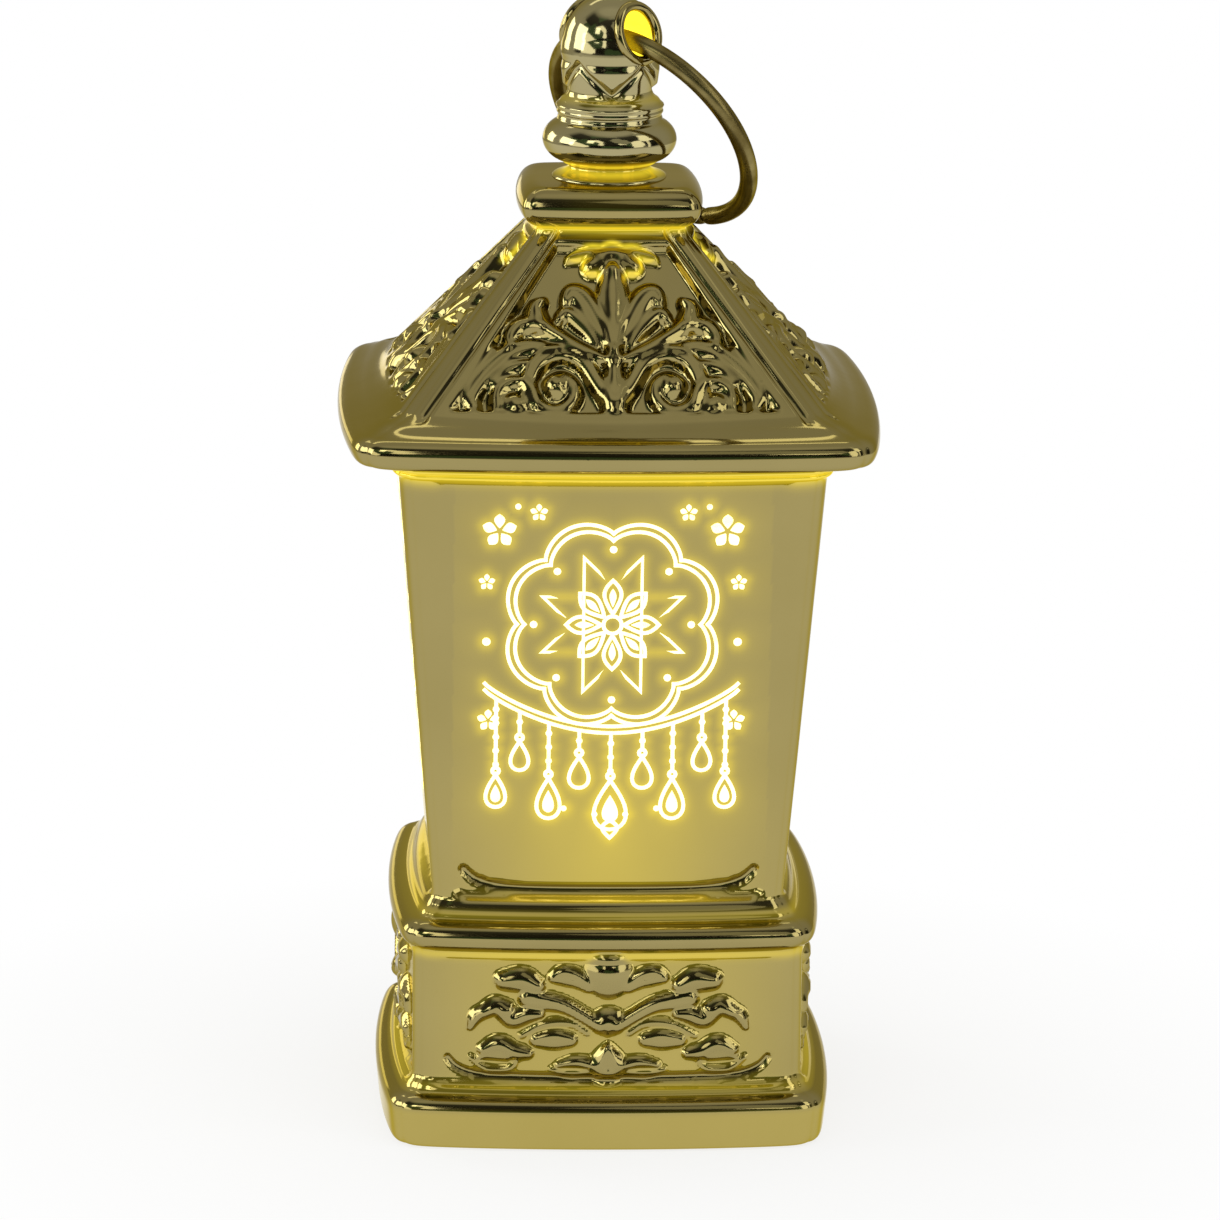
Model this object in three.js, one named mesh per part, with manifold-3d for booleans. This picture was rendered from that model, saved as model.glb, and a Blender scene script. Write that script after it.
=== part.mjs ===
// Decorative LED lantern: a hollow plated ceramic tower with a hipped roof, a hanging ring and a lamp unit.
// Millimetres, +Z up. The origin is the middle of the foot, on the surface that the lantern stands on.
import * as THREE from 'three';
import { mergeVertices } from 'three/addons/utils/BufferGeometryUtils.js';
import Module from 'manifold-3d';

const wasm = await Module();
wasm.setup();

// Heights of the tower's storeys, from the table up
const baseHeight = 8.8;
const plinthHeight = 24.6;
const plateHeight = 4.8;
const footHeight = 2.8;
const bodyHeight = 75.8;
const eaveHeight = 6.4;
const roofHeight = 27.7;
const capHeight = 6.8;

// Half widths of the storeys, measured to the middle of a side
const baseHalf = 38.3;
const baseInset = 0.5;
const plinthHalf = 34.4;
const plateHalf = 36.2;
const footHalf = 32.4;
const bodyLowHalf = 31;
const bodyHighHalf = 36.9;
const eaveHalf = 45;
const roofLowHalf = 37.8;
const roofHighHalf = 13.2;
const capHalf = 15.5;

// Shape of the casting
const sideBow = 0.067;
const squareness = 20;
const roofBow = 0.1;
const roofSquareness = 26;
const wall = 3.2;
const edgeRound = 2.2;
const corniceHeight = 3.4;
const corniceStep = 2.6;
const corniceBead = 0.8;
const corniceBeadHeight = 1.4;
const baseFootRound = 1.5;
const coveReach = 1;
const coveHeight = 2.2;
const plateLip = 1;
const footLedge = 0.5;
const footBeadHeight = 1.1;
const footStep = 0.6;
const eaveRoll = 2.7;
const eaveRollDrop = 2.8;
const roofKick = 1.6;
const roofKickHeight = 0.6;
const capLedge = 0.9;
const panelDepth = 1.2;
const panelSlope = 1.8;
const panelCorner = 4;
const bodyPanelMargin = 7.2;
const bodyPanelTopMargin = 9.3;
const bodyPanelSill = 2;
const bodyPanelHead = 0.4;
const plinthPanelMargin = 8.9;
const plinthPanelSill = 3.1;
const plinthPanelHead = 1.8;
const roofPanelDepth = 1.5;
const roofBandLow = 11.6;
const roofBandHigh = 7.4;
const roofPanelSill = 2.2;
const roofPanelHead = 2.8;
const roofPanelCorner = 1;

// Cast ornament of a roof side and of a plinth side. Each stroke is a rounded ridge through marks of
// [share of the panel's half width, share of its height, half width of the ridge], with its rise.
// A stroke off the middle is cast again on the other half of the side.
const roofOrnament = [
  { rise: 2.2, marks: [[0, 0.96, 1.6], [0, 0.91, 3.4], [0, 0.78, 1.7], [0, 0.66, 2.4], [0, 0.4, 1.4],
    [0, 0.06, 1.9]] },
  { rise: 2, marks: [[0.05, 0.4, 0.9], [0.34, 0.68, 1.9], [0.56, 0.71, 1.2]] },
  { rise: 2, marks: [[0.08, 0.35, 1], [0.5, 0.46, 1.5], [0.8, 0.6, 1.5]] },
  { rise: 2.2, marks: [[0.06, 0.08, 1], [0.19, 0.28, 1.3], [0.46, 0.36, 1.3], [0.63, 0.22, 1.3],
    [0.45, 0.03, 1.1]] },
  { rise: 2.4, marks: [[0.36, 0.17, 1.5], [0.47, 0.15, 1.7]] },
  { rise: 2, marks: [[0.7, 0.42, 1.2], [0.93, 0.3, 1.6], [0.92, 0.06, 1.2]] },
  { rise: 2.2, marks: [[0.62, 0.05, 1.7], [0.73, 0.04, 1.7]] },
];
const plinthOrnament = [
  { rise: 2.2, marks: [[0, 0.96, 1.8], [0, 0.82, 2.6]] },
  { rise: 1.6, marks: [[0.15, 0.82, 1], [0.34, 0.89, 1.2]] },
  { rise: 1.8, marks: [[0.5, 0.82, 1.5], [0.64, 0.84, 1.6]] },
  { rise: 1.9, marks: [[0.03, 0.46, 1.3], [0.3, 0.62, 1.1], [0.52, 0.68, 1.3]] },
  { rise: 1.6, marks: [[0.48, 0.53, 1.1], [0.7, 0.59, 1.5], [0.86, 0.51, 1]] },
  { rise: 1.6, marks: [[0.28, 0.32, 1.2], [0.43, 0.32, 1.2]] },
  { rise: 2, marks: [[0, 0.24, 1.2], [0, 0.09, 2.2]] },
];
const ridgeCrest = 0.5;
const ridgeRoot = 0.5;

// Finial turned above the cap
const skirtRadius = 9.7;
const skirtEdge = 0.5;
const waistRadius = 6.4;
const waistHeight = 2.1;
const bulbRadius = 11.15;
const bulbHeight = 8.2;
const beadRadius = 8.6;
const beadHeight = 3;
const neckRadius = 7;
const calyxHeight = 5.6;
const knobRadius = 7.9;
const finialBore = 3.2;
const eyeletRadius = 4;
const eyeletRise = 1.8;
const eyeletLip = 0.9;

// Hanging ring
const wireRadius = 1.5;
const ringRadius = 19.5;
const ringGap = 0.5;
const ringJointAngle = THREE.MathUtils.degToRad(172);

// Clearance between neighbouring pieces
const fit = 0.3;

// How far joined forms run into each other, and how far a cutter runs past a face
const root = 0.5;
const past = 1;

// Lamp unit: tub, flange and cover
const footRim = 5.4;
const floorUnderside = 3.2;
const tubRadius = 24.2;
const tubWall = 1.6;
const tubHeight = 21;
const flangeWidth = 4.3;
const flangeThickness = 1.9;
const flangeLift = 1;
const coverThickness = 1.8;
const sealHeight = 3;
const sealThickness = 1.2;
const sealChamfer = 0.4;
const pillarRadius = 2.6;
const pillarSink = 0.6;
const pillarCap = 0.8;
const bossCap = 1.8;

// Batteries and their compartment
const cellRadius = 5.8;
const cellLength = 5.4;
const cellCount = 3;
const cellRowY = -8;
const cellEdge = 0.3;
const cellCrimp = 1.4;
const contactThickness = 0.4;
const contactHalf = 4.4;
const contactLift = 0.6;
const leafDepth = 2.8;
const leafWidth = 4;
const compartmentWall = 1.2;
const doorThickness = 1.6;
const hingeRadius = 1.7;
const hingePinRadius = 0.6;
const hingeLength = 8;
const lugThickness = 1.5;
const tongueWidth = 7;
const tabHalf = 1.8;
const tabStand = 1;
const doorRoot = 2;

// Screws
const screwRadius = 1;
const screwHeadRadius = 1.9;
const screwHeadHeight = 0.9;
const screwPoint = 0.9;
const headSeat = 0.5;
const coverScrewLength = 9;
const doorScrewLength = 4.2;
const boardScrewLength = 6.2;

// Switch
const switchY = 14;
const switchLength = 10;
const switchWidth = 6;
const switchHeight = 5.2;
const switchShell = 0.8;
const switchTravel = 2;
const knobLength = 2.8;
const knobWidth = 2.4;
const knobDrop = 0.3;
const sliderPad = 1.4;
const terminalInset = 1.8;

// Lights, board and diffuser
const boardRadius = 11.8;
const boardThickness = 1.6;
const boardScrewX = 9.2;
const ledRadius = 2.5;
const ledRim = 0.3;
const ledRimHeight = 1;
const ledHeight = 8.6;
const ledOffset = 4;
const resistorRadius = 1.1;
const resistorLength = 5.4;
const resistorWire = 0.3;
const resistorReach = 1.2;
const resistorEnd = 1.3;
const resistorShoulder = 0.4;
const resistorInset = 1.9;
const diffuserInner = 12.6;
const diffuserWall = 1.6;
const diffuserHeight = 41.6;
const collarWall = 1.5;
const collarHeight = 3;
const leadRadius = 0.6;
const leadSpread = 1.2;
const leadHoleRadius = 2.6;
const leadHoleY = -8.5;

// Levels that follow from the storeys
const plinthZ = baseHeight;
const plateZ = plinthZ + plinthHeight;
const footZ = plateZ + plateHeight;
const bodyZ = footZ + footHeight;
const eaveZ = bodyZ + bodyHeight;
const roofZ = eaveZ + eaveHeight;
const capZ = roofZ + roofHeight;
const finialZ = capZ + capHeight;
const bulbZ = finialZ + waistHeight + bulbHeight / 2;
const beadZ = bulbZ + bulbHeight / 2 + beadHeight / 2;
const neckZ = beadZ + beadHeight / 2;
const knobZ = neckZ + calyxHeight + Math.sqrt(knobRadius ** 2 - neckRadius ** 2);
const eyeletZ = knobZ + eyeletRise;

// Levels of the lamp unit
const floorTop = floorUnderside + wall;
const tubFloorTop = flangeLift + flangeThickness;
const flangeRadius = tubRadius + flangeWidth;
const lampHoleRadius = tubRadius + sealThickness + 2 * fit;
const coverScrewCircle = tubRadius - tubWall - pillarRadius + pillarSink;
const tubTop = flangeLift + tubHeight;
const coverZ = tubTop + fit;
const coverTop = coverZ + coverThickness;
const boardZ = coverTop + fit;
const boardTop = boardZ + boardThickness;

// Battery row, running along X from the leaf contact to the plate contact
const cellsLength = cellCount * cellLength + (cellCount - 1) * fit;
const plateX = cellsLength / 2 + fit;
const rowEnd = plateX + contactThickness + fit;
const leafX = -cellsLength / 2 - fit - leafDepth - contactThickness;
const rowStart = leafX - fit;
const rowHalf = cellRadius + fit;
const cellZ = flangeLift + doorThickness + fit + cellRadius;
const rowTop = cellZ + cellRadius + fit;
const tabTop = rowTop + compartmentWall + tabStand;

// Battery door: its hinge beyond the leaf, its screw beyond the plate
const hingeX = rowStart - compartmentWall - fit - hingeRadius;
const hingeZ = flangeLift + hingeRadius;
const hingePinLength = hingeLength + 2 * fit + 2 * lugThickness;
const tongueX = rowEnd + compartmentWall + pillarRadius - pillarSink;
const doorSeat = flangeLift + doorThickness - headSeat;
const doorScrewTip = doorSeat - fit + doorScrewLength;

// Screw places and the levels of their tips
const coverScrews = [30, 150, 270].map(THREE.MathUtils.degToRad)
  .map((angle) => [coverScrewCircle * Math.cos(angle), coverScrewCircle * Math.sin(angle)]);
const boardScrews = [[boardScrewX, 0], [-boardScrewX, 0]];
const coverScrewTip = coverTop + fit - coverScrewLength;
const boardScrewTip = boardTop + fit - boardScrewLength;

// Switch places
const switchZ = tubFloorTop + fit;
const switchReach = (switchTravel + knobLength) / 2 + fit;

// The ring's wire lies in the bottom of the eyelet, a little above it because the ring curves away
const eyeletHalfLength = Math.sqrt(knobRadius ** 2 - eyeletRise ** 2) - eyeletLip;
const ringSag = ringRadius - Math.sqrt(ringRadius ** 2 - eyeletHalfLength ** 2);
const ringPivotZ = eyeletZ - eyeletRadius + wireRadius + ringSag + fit;

// The two horizontal directions of the eyelet: along its hole, and square to it
const acrossEyelet = new THREE.Vector3(1, -1, 0).normalize();
const besideEyelet = new THREE.Vector3(1, 1, 0).normalize();
const up = new THREE.Vector3(0, 0, 1);

const material = (color, roughness, metalness) =>
  new THREE.MeshStandardMaterial({ color, roughness, metalness });
const plating = material(0xa8985e, 0.2, 1);
const bronze = material(0x4b4114, 0.35, 1);
const whitePlastic = material(0xe9e7df, 0.45, 0);
const blackPlastic = material(0x1f1f20, 0.5, 0);
const frosted = material(0xf3f0e2, 0.6, 0);
const steel = material(0xb9bcc0, 0.3, 1);
const brightNickel = material(0xd3d2cc, 0.22, 1);
const boardGreen = material(0x2f6a45, 0.5, 0);
const rubberGrey = material(0x55565a, 0.8, 0);
const ledLens = material(0xfff1b8, 0.25, 0);
const resistorTan = material(0xc9a878, 0.55, 0);
const redSleeve = material(0xb3261e, 0.5, 0);
const blackSleeve = material(0x161616, 0.5, 0);

const lantern = new THREE.Group();
lantern.name = 'led_lantern';

// Adds one named piece to a group
function addPiece(name, geometry, look, group = lantern) {
  const mesh = new THREE.Mesh(geometry, look);
  mesh.name = name;
  group.add(mesh);
  return mesh;
}

// Turns a three.js geometry into a solid that can be cut and joined
function solid(geometry) {
  const plain = geometry.clone();
  plain.deleteAttribute('normal');
  plain.deleteAttribute('uv');
  const welded = mergeVertices(plain, 1e-4);
  const corners = [];
  for (let i = 0; i < welded.index.count; i += 3) {
    const [a, b, c] = [0, 1, 2].map((k) => welded.index.getX(i + k));
    if (a !== b && b !== c && c !== a) corners.push(a, b, c);
  }
  return new wasm.Manifold(new wasm.Mesh({
    numProp: 3,
    vertProperties: new Float32Array(welded.attributes.position.array),
    triVerts: new Uint32Array(corners),
  }));
}

// Turns a solid back into a three.js geometry
function surface(body) {
  const mesh = body.getMesh();
  const geometry = new THREE.BufferGeometry();
  geometry.setAttribute('position', new THREE.BufferAttribute(mesh.vertProperties, 3));
  geometry.setIndex(new THREE.BufferAttribute(mesh.triVerts, 1));
  geometry.computeVertexNormals();
  return geometry;
}

const joined = (...geometries) => geometries.map(solid).reduce((a, b) => a.add(b));
const cut = (body, ...geometries) => geometries.map(solid).reduce((a, b) => a.subtract(b), body);

// Points along part of an ellipse, angles in degrees
function arc(centreX, centreY, radiusX, radiusY, from, to, steps) {
  return Array.from({ length: steps + 1 }, (_, i) => {
    const angle = THREE.MathUtils.degToRad(from + ((to - from) * i) / steps);
    return [centreX + radiusX * Math.cos(angle), centreY + radiusY * Math.sin(angle)];
  });
}

// Turns an outline of [radius, height] pairs round the Z axis
function turned(outline, segments = 24) {
  const points = outline.map(([radius, height]) => new THREE.Vector2(radius, height));
  return new THREE.LatheGeometry(points, segments).rotateX(Math.PI / 2);
}

// The two plans of the tower: squares with bowed sides and soft corners, the roof's with crisp hips
const storeyPlan = { bow: sideBow, corner: squareness };
const roofPlan = { bow: roofBow, corner: roofSquareness };
const planAt = (z) => (z > roofZ && z < capZ ? roofPlan : storeyPlan);

// For a point of a plan whose smaller coordinate is this share of its larger one, the larger one's share
// of the half width
const planReach = (share, { bow, corner }) =>
  (1 - bow * share ** 2) / (1 + share ** corner) ** (1 / corner);

// Turns an outline and squares each round, so that [half width, height] pairs make a storey.
// The steps round it draw closer together towards the corners.
function squared(outline, plan, segments = 24) {
  const geometry = turned(outline, segments);
  const position = geometry.attributes.position;
  for (let i = 0; i < position.count; i += 1) {
    const [x, y, z] = [position.getX(i), position.getY(i), position.getZ(i)];
    const alongX = Math.abs(x) > Math.abs(y);
    const angle = alongX ? Math.atan2(Math.abs(y), Math.abs(x)) : Math.atan2(Math.abs(x), Math.abs(y));
    const eighth = Math.PI / 4;
    const share = Math.tan(eighth * (1 - (1 - angle / eighth) ** 2));
    const larger = Math.hypot(x, y) * planReach(share, plan ?? planAt(z));
    const [reachX, reachY] = alongX ? [larger, larger * share] : [larger * share, larger];
    position.setXY(i, Math.sign(x) * reachX, Math.sign(y) * reachY);
  }
  return geometry;
}

const disc = (radius, z, height, segments = 32) =>
  new THREE.CylinderGeometry(radius, radius, height, segments)
    .rotateX(Math.PI / 2)
    .translate(0, 0, z + height / 2);
const alongHinge = (radius, length) =>
  new THREE.CylinderGeometry(radius, radius, length, 16).translate(hingeX, cellRowY, hingeZ);
const block = (x0, x1, y0, y1, z0, z1) =>
  new THREE.BoxGeometry(x1 - x0, y1 - y0, z1 - z0).translate((x0 + x1) / 2, (y0 + y1) / 2, (z0 + z1) / 2);

// Outer outline of the ceramic tower from the foot to the top of the cap
const baseLowHalf = baseHalf - baseInset;
const corniceZ = eaveZ - corniceHeight;
const corniceHalf = bodyHighHalf + corniceStep;
const coveRise = corniceHeight - corniceBeadHeight;
const capRound = capHeight / 2;
const platePad = plateHalf - plateHeight / 2;
const towerOutline = [
  [0, 0],
  ...arc(baseLowHalf - baseFootRound, baseFootRound, baseFootRound, baseFootRound, -90, 0, 2),
  ...arc(baseHalf - edgeRound, plinthZ - edgeRound, edgeRound, edgeRound, 0, 80, 3),
  [plinthHalf + coveReach, plinthZ + coveHeight * 0.14],
  [plinthHalf + coveReach * 0.8, plinthZ + coveHeight * 0.7],
  [plinthHalf, plinthZ + coveHeight],
  [plinthHalf, plateZ - plateLip],
  ...arc(platePad, plateZ + plateHeight / 2, plateHeight / 2, plateHeight / 2, -66, 80, 6),
  [footHalf + footLedge, footZ],
  [footHalf + footLedge * 0.4, footZ + footBeadHeight * 0.8],
  [footHalf - footStep * 0.7, footZ + footBeadHeight],
  [footHalf - footStep, bodyZ - footLedge],
  [bodyLowHalf, bodyZ],
  [bodyHighHalf, corniceZ],
  ...arc(bodyHighHalf + corniceBead / 2, corniceZ + corniceBead, corniceBead, corniceBead, -60, 70, 3),
  ...arc(corniceHalf, corniceZ + corniceBeadHeight, corniceStep * 0.8, coveRise, 180, 90, 3),
  ...arc(eaveHalf - eaveRoll, eaveZ + edgeRound, eaveRoll, edgeRound, -90, 0, 3),
  ...arc(eaveHalf - eaveRoll, roofZ - eaveRollDrop, eaveRoll, edgeRound, 0, 90, 3),
  [roofLowHalf + roofKick, roofZ - roofKickHeight / 2],
  [roofLowHalf, roofZ + roofKickHeight],
  [roofHighHalf, capZ - capLedge],
  [roofHighHalf * 0.985, capZ],
  ...arc(capHalf - capRound, capZ + capRound, capRound, capRound, -78, 78, 6),
  [skirtRadius, finialZ],
  [0, finialZ],
];

// Half width of the tower's outside at a height, which the ring and the panels need
function outerHalf(z) {
  let widest = 0;
  for (let i = 1; i < towerOutline.length; i += 1) {
    const [[halfA, zA], [halfB, zB]] = [towerOutline[i - 1], towerOutline[i]];
    if ((z - zA) * (z - zB) <= 0) {
      const share = zA === zB ? 0 : (z - zA) / (zB - zA);
      widest = Math.max(widest, halfA + share * (halfB - halfA));
    }
  }
  return widest;
}

// A sunk panel of the front: half widths and levels of its floor's lower and upper edge, depth, corner
function makePanel(lowHalf, highHalf, lowZ, highZ, depth, corner) {
  const [faceLow, faceHigh] = [outerHalf(lowZ), outerHalf(highZ)];
  const lean = Math.atan2(faceHigh - faceLow, highZ - lowZ);
  const plan = planAt((lowZ + highZ) / 2);
  return { lowHalf, highHalf, lowZ, highZ, depth, corner, faceLow, faceHigh, lean, plan };
}

// What is taken out for a panel: a block with sloping sides that stops where the bowed floor starts
function panelRecess(panel) {
  const { lowHalf, highHalf, lowZ, highZ, depth, corner, faceLow, faceHigh, lean, plan } = panel;
  const height = Math.hypot(faceHigh - faceLow, highZ - lowZ);
  const outline = new THREE.Shape();
  outline.moveTo(-highHalf, height / 2);
  outline.lineTo(-lowHalf, corner - height / 2);
  outline.quadraticCurveTo(-lowHalf, -height / 2, corner - lowHalf, -height / 2);
  outline.lineTo(lowHalf - corner, -height / 2);
  outline.quadraticCurveTo(lowHalf, -height / 2, lowHalf, corner - height / 2);
  outline.lineTo(highHalf, height / 2);
  const bowDepth = (plan.bow * lowHalf ** 2) / faceLow;
  const geometry = new THREE.ExtrudeGeometry(outline, {
    depth: panelSlope,
    bevelThickness: depth + bowDepth,
    bevelSize: panelSlope,
    bevelSegments: 1,
    curveSegments: 4,
  });
  geometry.rotateX(Math.PI / 2);
  geometry.rotateX(lean);
  geometry.translate(0, -(faceLow + faceHigh) / 2, (lowZ + highZ) / 2);
  const floorHalf = (z) => faceLow + (z - lowZ) * Math.tan(lean) - depth / Math.cos(lean);
  const spare = panelSlope + depth + bowDepth;
  const [under, over] = [lowZ - spare, highZ + spare];
  const floor = squared([[0, under], [floorHalf(under), under], [floorHalf(over), over], [0, over]], plan);
  return surface(cut(solid(geometry), floor));
}

// One ridge of ornament, swept through its marks on a panel's floor, with its root in the wall
function ridge(panel, marks, rise, mirror) {
  const { lowHalf, highHalf, lowZ, highZ, depth, lean, plan } = panel;
  const outward = new THREE.Vector3(0, -Math.cos(lean), -Math.sin(lean));
  const centres = marks.map(([across, climb]) => {
    const z = lowZ + climb * (highZ - lowZ);
    const x = mirror * across * (lowHalf + climb * (highHalf - lowHalf));
    const half = outerHalf(z) - depth / Math.cos(lean);
    return new THREE.Vector3(x, -half * planReach(Math.abs(x) / half, plan), z);
  });
  const corners = [];
  const section = [[1, -ridgeRoot], [ridgeCrest, rise], [-ridgeCrest, rise], [-1, -ridgeRoot]];
  const last = centres.length - 1;
  const rings = centres.map((centre, i) => {
    const along = centres[Math.min(i + 1, last)].clone().sub(centres[Math.max(i - 1, 0)]).normalize();
    const side = along.clone().cross(outward).normalize();
    const width = marks[i][2];
    return section.map(([across, up]) => centre.clone()
      .addScaledVector(side, across * width)
      .addScaledVector(outward, up));
  });
  const tips = [0, last].map((i) => {
    const outwards = centres[i].clone().sub(centres[i === 0 ? 1 : last - 1]).normalize();
    return centres[i].clone().addScaledVector(outwards, marks[i][2] * ridgeCrest);
  });
  const count = section.length;
  for (let k = 0; k < count; k += 1) {
    const next = (k + 1) % count;
    corners.push(tips[0], rings[0][k], rings[0][next]);
    for (let i = 0; i < last; i += 1) {
      corners.push(rings[i][k], rings[i + 1][k], rings[i + 1][next]);
      corners.push(rings[i][k], rings[i + 1][next], rings[i][next]);
    }
    corners.push(tips[1], rings[last][next], rings[last][k]);
  }
  return new THREE.BufferGeometry().setFromPoints(corners);
}

// All ridges of one side's ornament, melted together
const ornament = (panel, strokes) => surface(joined(...strokes.flatMap(({ rise, marks }) => {
  const halves = marks[0][0] === 0 ? [1] : [1, -1];
  return halves.map((mirror) => ridge(panel, marks, rise, mirror));
})));

// The same form on all four sides
const onFourSides = (geometry) =>
  [0, 1, 2, 3].map((quarter) => geometry.clone().rotateZ((quarter * Math.PI) / 2));

// Ceramic shell: tower and finial in one hollow casting, open underneath
function ceramicShell() {
  const finialOutline = [
    [0, capZ + capRound],
    [skirtRadius, capZ + capRound],
    [skirtRadius, finialZ + skirtEdge * 0.2],
    [skirtRadius - skirtEdge, finialZ + skirtEdge],
    [waistRadius + skirtEdge, finialZ + waistHeight * 0.5],
    [waistRadius, finialZ + waistHeight * 0.8],
    ...arc(waistRadius, bulbZ, bulbRadius - waistRadius, bulbHeight * 0.45, -75, 75, 6),
    [beadRadius * 0.94, bulbZ + bulbHeight / 2],
    ...arc(beadRadius - beadHeight / 2, beadZ, beadHeight / 2, beadHeight / 2, -50, 60, 4),
    [neckRadius, neckZ + calyxHeight * 0.1],
    [neckRadius * 1.04, neckZ + calyxHeight * 0.5],
    [neckRadius * 1.01, neckZ + calyxHeight * 0.85],
    ...arc(0, knobZ, knobRadius, knobRadius, -55, 80, 7),
    [0, knobZ + knobRadius],
  ];
  const cavityHalf = (outside, lean = 0) => outside - wall / Math.cos(lean);
  const roofLean = Math.atan2(roofLowHalf - roofHighHalf, roofHeight);
  const cavityOutline = [
    [0, floorTop],
    [cavityHalf(plinthHalf), floorTop],
    [cavityHalf(plinthHalf), plateZ],
    [cavityHalf(bodyLowHalf), bodyZ],
    [cavityHalf(bodyHighHalf), corniceZ],
    [cavityHalf(bodyHighHalf), eaveZ + eaveHeight / 2],
    [cavityHalf(roofLowHalf, roofLean), roofZ],
    [cavityHalf(roofHighHalf, roofLean), capZ],
    [cavityHalf(roofHighHalf, roofLean), capZ + capHeight - wall],
    [0, capZ + capHeight - wall],
  ];
  const underHalf = baseLowHalf - footRim;
  const underside = [[0, -past], [underHalf, -past], [underHalf, floorUnderside], [0, floorUnderside]];

  const bodyPanel = makePanel(
    bodyLowHalf - bodyPanelMargin, bodyHighHalf - bodyPanelTopMargin,
    bodyZ + bodyPanelSill, corniceZ - bodyPanelHead, panelDepth, panelCorner,
  );
  const plinthPanelHalf = plinthHalf - plinthPanelMargin;
  const plinthPanel = makePanel(
    plinthPanelHalf, plinthPanelHalf,
    plinthZ + plinthPanelSill, plateZ - plinthPanelHead, panelDepth, panelCorner,
  );
  const [roofPanelLow, roofPanelHigh] = [roofZ + roofPanelSill, capZ - roofPanelHead];
  const roofPanel = makePanel(
    outerHalf(roofPanelLow) - roofBandLow, outerHalf(roofPanelHigh) - roofBandHigh,
    roofPanelLow, roofPanelHigh, roofPanelDepth, roofPanelCorner,
  );
  const recesses = [bodyPanel, plinthPanel, roofPanel].map(panelRecess).flatMap(onFourSides);
  const reliefs = [ornament(roofPanel, roofOrnament), ornament(plinthPanel, plinthOrnament)]
    .flatMap(onFourSides);

  const boreStart = capZ + capHeight - wall - past;
  const bore = disc(finialBore, boreStart, eyeletZ - boreStart, 16);
  const alongEyelet = (radius, length) =>
    new THREE.CylinderGeometry(radius, radius, length, 20).rotateZ(Math.PI / 4).translate(0, 0, eyeletZ);
  const lip = alongEyelet(eyeletRadius + eyeletLip, 2 * eyeletHalfLength);
  const casting = cut(joined(squared(towerOutline), turned(finialOutline, 20), lip), ...recesses);
  return cut(
    reliefs.map(solid).reduce((a, b) => a.add(b), casting),
    squared(cavityOutline, storeyPlan, 16), squared(underside, storeyPlan, 16),
    disc(lampHoleRadius, 0, floorTop + past), bore, alongEyelet(eyeletRadius, 4 * knobRadius),
  );
}

// Hanging ring: one round wire, bent to a ring whose ends meet, passed through the eyelet
class RingCurve extends THREE.Curve {
  constructor(swing) {
    super();
    this.toCentre = besideEyelet.clone().multiplyScalar(Math.sin(swing))
      .addScaledVector(up, -Math.cos(swing));
  }

  getPoint(share, target = new THREE.Vector3()) {
    const opening = ringGap / ringRadius;
    const angle = ringJointAngle + opening / 2 + share * (2 * Math.PI - opening);
    return target.set(0, 0, ringPivotZ)
      .addScaledVector(this.toCentre, ringRadius * (1 - Math.cos(angle)))
      .addScaledVector(acrossEyelet, ringRadius * Math.sin(angle));
  }
}

// True where a ring hanging at this swing would come closer to the tower than the usual clearance
function ringTouches(swing) {
  const curve = new RingCurve(swing);
  const reach = wireRadius + fit;
  const side = curve.toCentre.clone().cross(acrossEyelet);
  return curve.getSpacedPoints(90).some((centre) => {
    if (centre.z > neckZ) return false;
    return [0, 1, 2, 3, 4, 5, 6, 7].some((step) => {
      const around = (step * Math.PI) / 4;
      const point = centre.clone().addScaledVector(side, reach * Math.cos(around))
        .addScaledVector(curve.toCentre, reach * Math.sin(around));
      const [smaller, larger] = [Math.abs(point.x), Math.abs(point.y)].sort((a, b) => a - b);
      return larger / planReach(smaller / larger, planAt(point.z)) < outerHalf(point.z);
    });
  });
}

// The ring hangs as low as the tower lets it, so it lies against the hip of the roof
function ringRestSwing() {
  let [low, high] = [0, Math.PI / 2];
  for (let i = 0; i < 20; i += 1) {
    const middle = (low + high) / 2;
    if (ringTouches(middle)) low = middle;
    else high = middle;
  }
  return high;
}

function wireAlong(curve, radius, steps, sides) {
  const section = new THREE.Shape();
  section.absarc(0, 0, radius, 0, 2 * Math.PI, false);
  return new THREE.ExtrudeGeometry(section, { steps, extrudePath: curve, curveSegments: sides / 2 });
}

// Screw with its shank along -Z and the underside of its head at the origin
const screw = (length) => turned([
  [0, -length],
  [screwRadius * 0.4, -length],
  [screwRadius, -length + screwPoint],
  [screwRadius, 0],
  [screwHeadRadius, 0],
  [screwHeadRadius, screwHeadHeight * 0.5],
  [screwHeadRadius * 0.6, screwHeadHeight],
  [0, screwHeadHeight],
], 10);

// Clearance holes for screws that stand upright at these places
const screwHoles = (places, z, height) =>
  places.map(([x, y]) => disc(screwRadius + fit, z, height, 12).translate(x, y, 0));

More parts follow.
